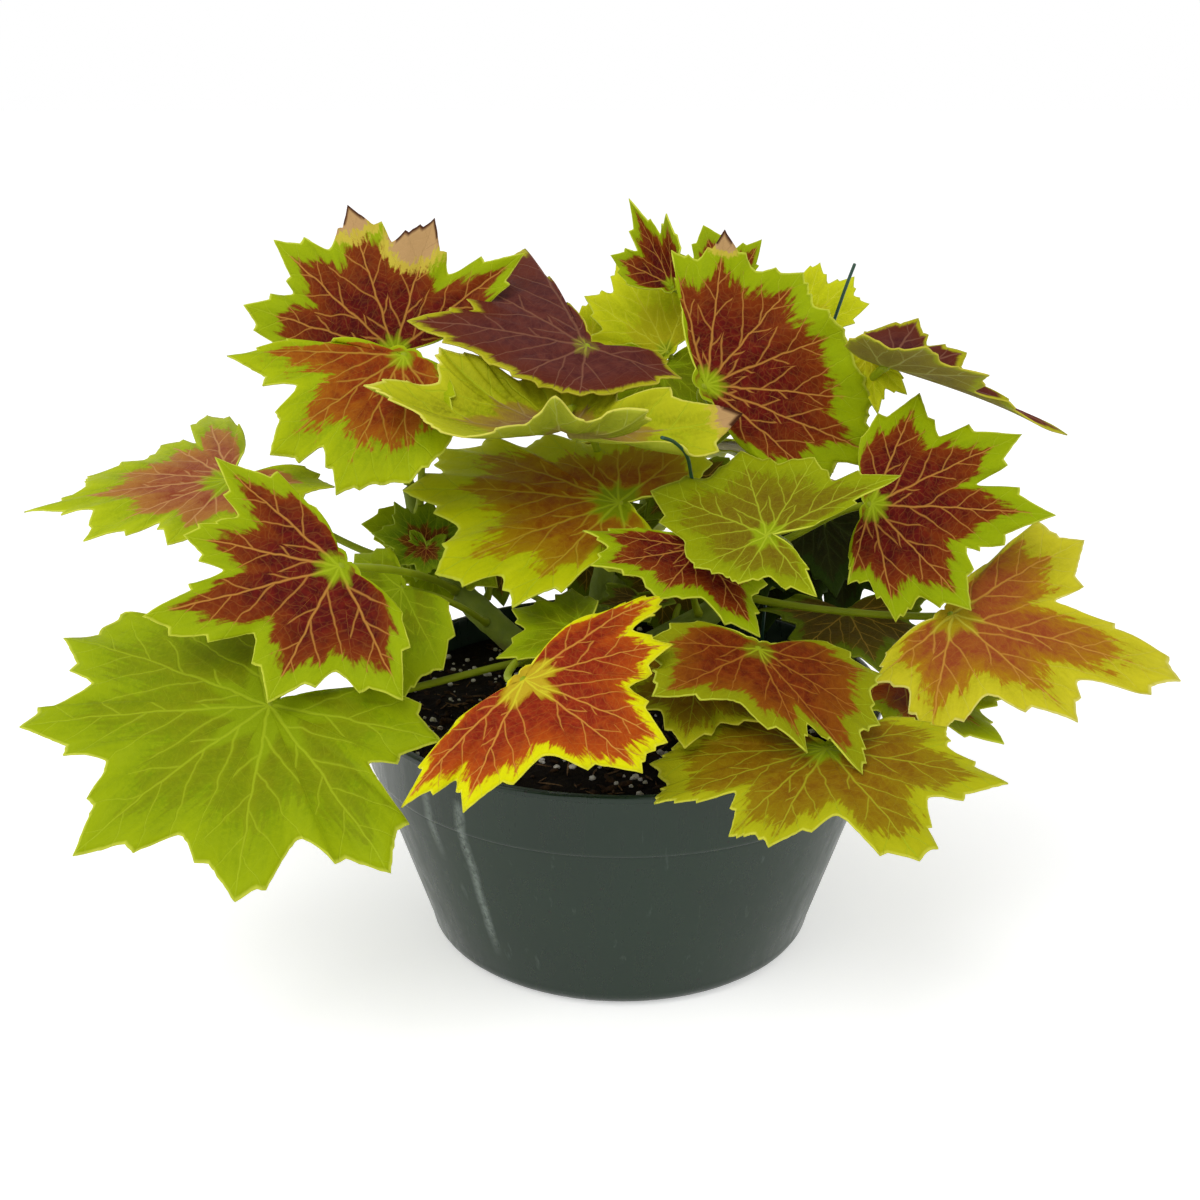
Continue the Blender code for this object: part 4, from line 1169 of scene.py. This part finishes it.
@dataclass(frozen=True)
class PaintedReflection:
    """A painted reflection of a softbox: a pale streak down the pot's wall."""

    bearing: float  # radians from the pot's front towards its right
    top: float
    bottom: float
    weight: float
    half_width: float = 0.03  # radians
    head: float = 4.0  # over which it fades in at the top
    tail: float = 12.0  # over which it fades out at the bottom
    bend: float = 0.03  # radians for a whole step of the noise by which it wanders

    def paint(self, g: Graph, turn: bpy.types.Node, wander: bpy.types.Node, dirt: bpy.types.Node,
              height: bpy.types.NodeSocket) -> bpy.types.Node:
        """Paint the reflection onto a finish.

        Args:
            g: the finish's nodes.
            turn: the bearing round the pot.
            wander: the noise by which the streak wanders.
            dirt: the noise that breaks it up.
            height: the height in metres.

        Returns:
            How strongly the painted reflection shows, from 0 to its weight.
        """
        off = g.add("Math", wander, self.bend, turn, operation="MULTIPLY_ADD")
        off = g.add("Math", off, self.bearing + self.bend / 2, operation="SUBTRACT")
        off = g.add("Math", off, operation="ABSOLUTE")
        off = g.add("MapRange", off, 0.004, self.half_width, self.weight, 0.0)
        above = g.add("MapRange", height, self.bottom * MM, (self.bottom + self.tail) * MM, 0.0, 1.0)
        below = g.add("MapRange", height, (self.top - self.head) * MM, self.top * MM, 1.0, 0.0)
        inside = g.add("Math", above, below, operation="MULTIPLY")
        reflection = g.add("Math", off, inside, operation="MULTIPLY")
        broken = g.add("MapRange", dirt, 0.36, 0.56, 0.35, 1.0)
        return g.add("Math", reflection, broken, operation="MULTIPLY")


@dataclass(frozen=True)
class PotPlastic:
    """Moulded polypropylene: dark green, faintly orange-peeled, with scuffs, dried soil and painted
    reflections of a softbox.
    """

    name: str = "moulded_polypropylene"
    dark: str = "#0E2315"
    pale: str = "#182F1E"
    # the pale grey of the scuffs, and of the painted reflections
    scuff_and_reflection: str = "#9CA8A0"
    soiled: str = "#1C1A14"
    clouds: float = 30.0
    peel: float = 1.1
    scuffs: float = 3.5
    specks: float = 6.0
    dirt: float = 1.6
    reflection_bends: float = 14.0
    # two painted reflections of the left softbox, as pale streaks down the pot's left side
    reflections: tuple = (PaintedReflection(-0.62, 72, 12, 0.5), PaintedReflection(-0.78, 78, 45, 0.4))

    def material(self) -> bpy.types.Material:
        """Build the finish.

        Returns:
            The material.
        """
        g = Graph(bpy.data.materials.new(self.name))
        where = g.add("TexCoord").outputs["Object"]
        x, y, z = g.add("SeparateXYZ", where).outputs
        cloud = g.add("TexNoise", where, 1 / (self.clouds * MM), 3.0)
        peel = g.add("TexNoise", where, 1 / (self.peel * MM), 2.0)
        stretched = g.add("Mapping", where, None, None, (1, 1, 0.12))
        scuffs = g.add("TexNoise", stretched, 1 / (self.scuffs * MM), 4.0, 0.6)
        specks = g.add("TexVoronoi", where, 1 / (self.specks * MM))
        dirt = g.add("TexNoise", where, 1 / (self.dirt * MM), 4.0, 0.7)
        wander = g.add("TexNoise", where, 1 / (self.reflection_bends * MM), 3.0)
        colour = g.add("Mix", cloud, linear(self.dark), linear(self.pale), data_type="RGBA")
        scuff_and_reflection = g.add("MapRange", scuffs, 0.64, 0.8, 0.0, 0.16)
        turn = g.add("Math", x, g.add("Math", y, -1.0, operation="MULTIPLY"), operation="ARCTAN2")
        # painted reflections, laid over the scuffs in the same pale grey
        for reflection in self.reflections:
            scuff_and_reflection = g.add("Math", scuff_and_reflection, reflection.paint(g, turn, wander, dirt, z), operation="MAXIMUM")
        colour = g.add("Mix", scuff_and_reflection, colour, linear(self.scuff_and_reflection), data_type="RGBA")
        speck = g.add("Math", dirt, 0.22, specks, operation="MULTIPLY_ADD")
        speck = g.add("MapRange", speck, 0.16, 0.2, 0.7, 0.0)
        colour = g.add("Mix", speck, colour, linear(self.soiled), data_type="RGBA")
        bump = g.add("Bump", 0.12, 0.15 * MM, None, peel)
        rough = g.add("MapRange", scuffs, 0.3, 0.75, 0.22, 0.42)
        return g.surface(Base_Color=colour, Normal=bump, Roughness=rough, Specular_IOR_Level=0.38)


@dataclass(frozen=True)
class SoilMix:
    """Something in the potting mix, such as peat, bark or perlite: matt, crumbly and mottled, with shade
    painted into the hollows of its crumbs.
    """

    name: str
    dark: str  # in the hollows, as painted shade
    pale: str
    rough: float
    crumbs: float = 2.2
    cells: float = 1.6

    def material(self) -> bpy.types.Material:
        """Build the finish.

        Returns:
            The material.
        """
        g = Graph(bpy.data.materials.new(self.name))
        where = g.add("TexCoord").outputs["Object"]
        crumbs = g.add("TexNoise", where, 1 / (self.crumbs * MM), 6.0, 0.7)
        cells = g.add("TexVoronoi", where, 1 / (self.cells * MM))
        height = g.add("Math", cells, 0.6, crumbs, operation="MULTIPLY_ADD")
        # the crumbs are paler on top and darker in their hollows: painted shade over the mix's own mottle
        paler = g.add("MapRange", crumbs, 0.35, 0.68)
        colour = g.add("Mix", paler, linear(self.dark), linear(self.pale), data_type="RGBA")
        bump = g.add("Bump", 0.8, 0.8 * MM, None, height)
        return g.surface(Base_Color=colour, Roughness=self.rough, Normal=bump, Specular_IOR_Level=0.08)


@dataclass(frozen=True)
class WireCoating:
    """Polythene coating: dark green, satin, a little streaked."""

    name: str = "polythene_coating"
    dark: str = "#0E3324"
    pale: str = "#1E5238"
    streaks: float = 2.0

    def material(self) -> bpy.types.Material:
        """Build the finish.

        Returns:
            The material.
        """
        g = Graph(bpy.data.materials.new(self.name))
        where = g.add("TexCoord").outputs["Object"]
        stretched = g.add("Mapping", where, None, None, (1, 1, 0.2))
        streaks = g.add("TexNoise", stretched, 1 / (self.streaks * MM), 3.0)
        colour = g.add("Mix", streaks, linear(self.dark), linear(self.pale), data_type="RGBA")
        return g.surface(Base_Color=colour, Roughness=g.add("MapRange", streaks, 0.3, 0.7, 0.3, 0.5))


@dataclass(frozen=True)
class Pot:
    """The nursery pot: a rim lip and collar over a tapered wall, a rounded heel and a drained floor."""

    height: float = 80.0
    rim: float = 82.5
    rim_round: float = 0.7
    collar_bottom: float = 60.5
    collar: float = 80.4
    step: float = 0.8
    heel_height: float = 5.5
    heel: float = 62.3
    base: float = 56.5
    foot: float = 0.5  # how far the floor stands clear of the ground, inside its base ring
    wall: float = 1.5
    lip: float = 2.4
    lip_depth: float = 3.0
    lip_round: float = 0.5
    drains: int = 8
    drain: float = 4.5
    drain_circle: float = 45.0
    segments: int = 192
    sharp: float = 32.0  # degrees between faces that meet at a sharp edge

    def profile(self) -> list[tuple[float, float]]:
        """Trace the wall's section, from inside the lip over the rim and down to the middle.

        Returns:
            (radius, height) points in millimetres.
        """
        top, rim, inner = self.height, self.rim, self.rim - self.lip
        small, large = self.lip_round, self.rim_round
        collar, shoulder = self.collar, self.collar - self.step
        points = [(inner, top - self.lip_depth), (inner, top - small)]
        points += [(inner + small - small * math.cos(a), top - small + small * math.sin(a))
                   for a in (0.5, 1.0, 1.5)]
        points += [(rim - large + large * math.sin(a), top - large + large * math.cos(a))
                   for a in (0.1, 0.6, 1.1, 1.5)]
        # under the lip's bead, then down the collar and in at its step
        points += [(rim, top - 1.7), (rim - 0.35, top - 2.0), (rim - 0.5, top - 2.6)]
        points += [(collar + 0.12, self.collar_bottom + 1.2), (collar, self.collar_bottom + 0.4),
                   (collar - 0.25, self.collar_bottom), (shoulder, self.collar_bottom - 0.35),
                   (shoulder - 0.04, self.collar_bottom - 1.2)]
        # round the heel to the base ring
        points += [(self.heel + 0.28, self.heel_height + 1.0)]
        span = self.heel - self.base
        points += [(self.base + span * math.cos(a), self.heel_height * (1 - math.sin(a)))
                   for a in (0.1, 0.4, 0.7, 1.0, 1.3)]
        # the base ring and the moulding gate's disc stand on the ground
        points += [(self.base - 1.0, 0.0), (self.base - 3.2, 0.0), (self.base - 3.8, self.foot),
                   (12.0, self.foot), (11.0, 0.0), (0.0, 0.0)]
        # back along the inside
        points += [(0.0, self.wall), (self.base - self.wall / 2, self.wall),
                   (self.heel - self.wall, self.heel_height),
                   (shoulder - self.wall, self.collar_bottom - self.step)]
        return points

    def build(self) -> None:
        """Spin the section, drill the drains and attach the pot."""
        mesh = bpy.data.meshes.new("pot_shell")
        bm = bmesh.new()
        ring = [bm.verts.new((radius * MM, 0, level * MM)) for radius, level in self.profile()]
        for start, end in zip(ring, ring[1:] + ring[:1]):
            if start.co.x > 0 or end.co.x > 0:
                bm.edges.new((start, end))
        bmesh.ops.spin(bm, geom=bm.verts[:] + bm.edges[:], axis=(0, 0, 1), cent=(0, 0, 0),
                       steps=self.segments, angle=math.tau, use_merge=True)
        bmesh.ops.remove_doubles(bm, verts=bm.verts, dist=1e-6)
        bmesh.ops.recalc_face_normals(bm, faces=bm.faces)
        bm.to_mesh(mesh)
        bm.free()
        obj = bpy.data.objects.new("pot_shell", mesh)
        bpy.context.scene.collection.objects.link(obj)
        for index in range(self.drains):
            angle = math.tau * (index + 0.5) / self.drains
            at = Vector((self.drain_circle * math.cos(angle), self.drain_circle * math.sin(angle), 0)) * MM
            bpy.ops.mesh.primitive_cylinder_add(vertices=32, radius=self.drain * MM, depth=10 * MM,
                                                location=at)
            drill = bpy.context.object
            cut = obj.modifiers.new("Drain", "BOOLEAN")
            cut.object = drill
            cut.operation = "DIFFERENCE"
            bpy.context.view_layer.objects.active = obj
            bpy.ops.object.modifier_apply(modifier=cut.name)
            bpy.data.objects.remove(drill)
        Piece("pot_shell", Slot.POT, ("pot",)).settle(obj, PotPlastic().material())
        obj.data.set_sharp_from_angle(angle=math.radians(self.sharp))


@dataclass(frozen=True)
class Grains:
    """Loose bits of one kind in the potting mix."""

    name: str
    finish: SoilMix
    count: int
    sizes: tuple  # smallest and largest half-length
    shape: tuple  # proportions along X, Y and Z


GRAINS = (
    Grains("perlite", SoilMix("perlite", "#A8A298", "#E8E4DC", 0.9), 420, (0.35, 1.25), (1, 0.9, 0.8)),
    Grains("bark", SoilMix("bark", "#140D08", "#45301F", 0.85), 520, (0.8, 2.6), (1, 0.5, 0.28)),
    Grains("fibres", SoilMix("fibre", "#32241A", "#85684A", 0.9), 260, (1.6, 4.2), (1, 0.09, 0.07)),
)


@dataclass(frozen=True)
class Soil:
    """The potting mix: a crumbly surface with perlite grains, bark chips and fibres in it."""

    edge: float = 78.6  # radius of the surface
    level: float = 70.2
    crown: float = 2.08  # how much higher its middle is
    floor: float = 56.0
    taper: float = 2.4  # how much narrower it is at the floor
    lumps: tuple = ((9.0, 3, 1.3), (3.6, 7, 0.8), (1.7, 5, 0.4))  # spacing, layer of noise and height
    edge_lumps: float = 0.3  # how much of them is left at the edge
    settling: float = 6.0  # how soon they grow inwards from there
    clear: float = 3.5  # how far from the edge loose bits stop
    proud: float = 0.25  # how far a bit's middle stands above the surface, as a share of its half-height
    tilts: tuple = (0.5, 0.4)  # radians, at most
    roughness: float = 0.35  # of a bit's own shape
    peat: SoilMix = SoilMix("peat", "#080605", "#1F1811", 0.95)
    rings: int = 48
    columns: int = 180
    seed: int = 11

    def height(self, x: float, y: float) -> float:
        """Give the surface's height.

        Args:
            x: mm from the pot's axis.
            y: mm from the pot's axis.

        Returns:
            The height in mm.
        """
        away = math.hypot(x, y) / self.edge
        lumps = sum(noise.noise(Vector((x, y, layer)) / spacing) * high
                    for spacing, layer, high in self.lumps)
        settled = min(1.0, (1 - away) * self.settling + self.edge_lumps)
        return self.level + self.crown * (1 - away * away) + lumps * settled

    def build(self) -> None:
        """Build the surface and what lies in it."""
        columns = self.columns
        points = [Vector((0, 0, self.height(0, 0))) * MM]
        for ring in range(1, self.rings + 1):
            radius = self.edge * ring / self.rings
            for column in range(columns):
                turn = math.tau * column / columns
                x, y = radius * math.cos(turn), radius * math.sin(turn)
                points.append(Vector((x, y, self.height(x, y))) * MM)
        inner = self.edge - self.taper
        for column in range(columns):
            turn = math.tau * column / columns
            points.append(Vector((inner * math.cos(turn), inner * math.sin(turn), self.floor)) * MM)
        points.append(Vector((0, 0, self.floor)) * MM)
        faces = [(0, 1 + c, 1 + (c + 1) % columns) for c in range(columns)]
        for ring in range(self.rings):
            low, high = 1 + ring * columns, 1 + (ring + 1) * columns
            for c in range(columns):
                after = (c + 1) % columns
                faces.append((low + c, high + c, high + after, low + after))
        last = 1 + self.rings * columns
        faces += [(len(points) - 1, last + (c + 1) % columns, last + c) for c in range(columns)]
        surface = mesh_object("potting_mix", points, faces)
        Piece("potting_mix", Slot.SOIL, ("soil",)).settle(surface, self.peat.material())
        rng = random.Random(self.seed)
        for grains in GRAINS:
            self.scatter(grains, rng)

    def scatter(self, grains: Grains, rng: random.Random) -> None:
        """Scatter rough grains over the surface.

        Args:
            grains: what they are.
            rng: the source of chance.
        """
        seed = bmesh.new()
        bmesh.ops.create_icosphere(seed, subdivisions=2, radius=1)
        corners = [vert.co.copy() for vert in seed.verts]
        sides = [[vert.index for vert in face.verts] for face in seed.faces]
        seed.free()
        points, faces = [], []
        for _ in range(grains.count):
            radius, turn = (self.edge - self.clear) * math.sqrt(rng.random()), rng.uniform(0, math.tau)
            x, y = radius * math.cos(turn), radius * math.sin(turn)
            size = rng.uniform(*grains.sizes)
            tilts = [rng.uniform(-most, most) for most in self.tilts]
            spin = Euler((*tilts, rng.uniform(0, 6.28))).to_matrix()
            centre = Vector((x, y, self.height(x, y) + self.proud * size * grains.shape[2]))
            base = len(points)
            for corner in corners:
                rough = 1 + self.roughness * noise.noise(corner * 1.6 + Vector((x, y, 0)))
                grain = Vector([c * s * size * rough for c, s in zip(corner, grains.shape)])
                points.append((centre + spin @ grain) * MM)
            faces += [tuple(base + index for index in side) for side in sides]
        obj = mesh_object(grains.name, points, faces)
        Piece(grains.name, Slot.SOIL).settle(obj, grains.finish.material())


@dataclass(frozen=True)
class Wire:
    """A coated wire that stands in the soil, through listed points."""

    name: str
    route: tuple
    radius: float = 0.55
    foot: float = 55.0  # height of its end in the soil
    steps: int = 8  # points of the curve from one listed point to the next

    def build(self) -> None:
        """Build the wire as a smooth tube."""
        knots = [Vector(point) * MM for point in self.route]
        knots.insert(0, Vector((knots[0].x, knots[0].y, self.foot * MM)))
        points = []
        for index in range(len(knots) - 1):
            before, after = knots[max(index - 1, 0)], knots[min(index + 2, len(knots) - 1)]
            start, end = knots[index], knots[index + 1]
            controls = (start, start + (end - before) / 6, end - (after - start) / 6, end)
            points += [bezier(controls, step / self.steps) for step in range(self.steps)]
        points.append(knots[-1])
        piece = Piece(self.name + "_coated", Slot.WIRE, (self.name,))
        wire = tube(self.name, points, [self.radius * MM] * len(points), 10)
        piece.settle(wire, WireCoating().material())


WIRES = (
    Wire("wire_front", ((31, 30, 76), (30, 27, 105), (28, 16, 124), (24, 3, 138), (21, -6, 149),
                        (19, -14, 158), (15, -21, 164), (11, -27, 167))),
    Wire("wire_back", ((48, 38, 76), (51, 40, 112), (58, 42, 150), (66, 42, 180), (71, 42, 197),
                       (74, 42, 206))),
)


def joined(name: str, objects: list) -> bpy.types.Object:
    """Join objects into one, with modifiers applied.

    Args:
        name: the name of the result.
        objects: the objects, which are removed.

    Returns:
        The joined object.
    """
    bpy.ops.object.select_all(action="DESELECT")
    for obj in objects:
        obj.select_set(True)
    bpy.context.view_layer.objects.active = objects[0]
    bpy.ops.object.convert(target="MESH")
    bpy.ops.object.join()
    obj = bpy.context.object
    obj.name = name
    return obj


@dataclass(frozen=True)
class Branches:
    """The crown and the four stems, swollen at each leaf's joint, and the young shoot's stalk."""

    crown_at: tuple = (-14, 8)
    crown_radius: float = 8.4
    crown: tuple = ((52, 0.9), (60, 1.0), (68, 1.05), (72, 1.04), (75, 0.98), (78, 0.84), (80, 0.62))
    points: int = 44
    easing: float = 0.06  # the share of a stem over which its bends are rounded
    girth: float = 0.93  # of a stem between its joints
    swelling: float = 0.09  # how much thicker it is at one
    joint_length: float = 0.02  # of the swelling, as a share of the stem
    shoot: tuple = ((-51, 14, 111), (-61, 8, 124))
    shoot_radii: tuple = (1.9, 1.42)
    shoot_steps: int = 8

    def stem(self, stem: Stem) -> bpy.types.Object:
        """Build one stem.

        Args:
            stem: its route.

        Returns:
            The stem.
        """
        joints = [leaf.joint for leaf in LEAVES if leaf.stem == stem.name]
        points, radii = [], []
        for index in range(self.points):
            share = index / (self.points - 1)
            low, high = stem.at(max(share - self.easing, 0)), stem.at(min(share + self.easing, 1))
            point, radius, _ = stem.at(share)
            swell = sum(math.exp(-((share - joint) / self.joint_length) ** 2) for joint in joints)
            points.append(point * 0.5 + (low[0] + high[0]) * 0.25)
            radii.append(radius * (self.girth + self.swelling * min(swell, 1.0)))
        return tube("branch", points, radii, 20)

    def build(self) -> None:
        """Build the crown and stems as one piece, then the young shoot."""
        tubes = [self.stem(stem) for stem in STEMS.values()]
        column = [Vector((*self.crown_at, level)) * MM for level, _ in self.crown]
        tubes.append(tube("crown", column, [self.crown_radius * MM * share for _, share in self.crown], 24))
        Piece("branches", Slot.STEM, ("stems",)).settle(joined("branches", tubes), StemSkin().material())
        base, tip = (Vector(point) * MM for point in self.shoot)
        shares = [step / self.shoot_steps for step in range(self.shoot_steps + 1)]
        thick, thin = self.shoot_radii
        radii = [(thick + (thin - thick) * share) * MM for share in shares]
        shoot = tube("young_shoot", [base.lerp(tip, share) for share in shares], radii, 12)
        Piece("young_stalk", Slot.STEM, ("young_shoot",)).settle(shoot, PetioleSkin().material())
        for leaflet in LEAFLETS:
            finish = leaflet.finish.value
            upper, lower = finish.material(), finish.underside().material()
            Piece(leaflet.name, Slot.LIME).settle(leaflet.blade(), upper, lower)


def light(name: str, at: tuple, size: float, power: float) -> None:
    """Add a soft area light aimed at the plant.

    Args:
        name: its name.
        at: its place in metres.
        size: its side in metres.
        power: its power in watts.
    """
    data = bpy.data.lights.new(name, "AREA")
    data.size = size
    data.energy = power
    lamp = bpy.data.objects.new(name, data)
    lamp.location = at
    lamp.rotation_euler = (Vector(LIGHT_AIM) - Vector(at)).to_track_quat("-Z", "Y").to_euler()
    bpy.context.scene.collection.objects.link(lamp)


def seen_plainly(g: Graph) -> bpy.types.Node:
    """Tell the rays that show a surface from those that only light others.

    Args:
        g: the nodes to add to.

    Returns:
        1 on a ray from the camera or off something glossy or clear, and otherwise 0.
    """
    path = g.add("LightPath").outputs
    seen = g.add("Math", path["Is Camera Ray"], path["Is Glossy Ray"], operation="MAXIMUM")
    return g.add("Math", seen, path["Is Transmission Ray"], operation="MAXIMUM")


@dataclass(frozen=True)
class Paper:
    """Matt white paper, which keeps the plant's shadow and otherwise shows as plain white."""

    name: str = "matt_paper"
    colour: str = "#F6F6F6"
    glow: float = 0.46  # what it adds to what the camera sees of it

    def material(self) -> bpy.types.Material:
        """Build the finish.

        Returns:
            The material.
        """
        g = Graph(bpy.data.materials.new(self.name))
        glow = g.add("Math", seen_plainly(g), self.glow, operation="MULTIPLY")
        return g.surface(Base_Color=linear(self.colour), Roughness=0.95, Emission_Color=WHITE,
                         Emission_Strength=glow)


def backdrop() -> None:
    """Light the plant softly from all round, in front of plain white."""
    world = bpy.context.scene.world or bpy.data.worlds.new("studio")
    bpy.context.scene.world = world
    g = Graph(world)
    soft = g.tree.nodes["Background"]
    g.feed(soft.inputs["Color"], WHITE)
    g.feed(soft.inputs["Strength"], WORLD_LIGHT)
    white = g.add("Background", WHITE, 1.0)
    shown = g.add("MixShader", seen_plainly(g), soft, white)
    g.feed(g.tree.nodes["World Output"].inputs["Surface"], shown)


def studio() -> None:
    """Set the pale floor, the soft light and the camera."""
    bpy.ops.mesh.primitive_plane_add(size=FLOOR_SIZE, location=(0, 0, -FLOOR_DROP))
    floor = bpy.context.object
    floor.name = "floor"
    floor.data.materials.append(Paper().material())
    backdrop()
    for lamp in LAMPS:
        light(*lamp)
    scene = bpy.context.scene
    scene.view_settings.view_transform = "Standard"
    data = bpy.data.cameras.new("camera")
    data.lens = LENS
    data.sensor_width = SENSOR
    camera = bpy.data.objects.new("camera", data)
    camera.location = Vector(CAMERA_AT) * MM
    camera.rotation_euler = (math.radians(CAMERA_TILT), 0, 0)
    scene.collection.objects.link(camera)
    scene.camera = camera


def main() -> None:
    """Build the plant, the light and the camera."""
    Pot().build()
    Soil().build()
    Branches().build()
    for piece in (*WIRES, *LEAVES):
        piece.build()
    studio()
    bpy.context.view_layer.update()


if __name__ == "__main__":
    main()
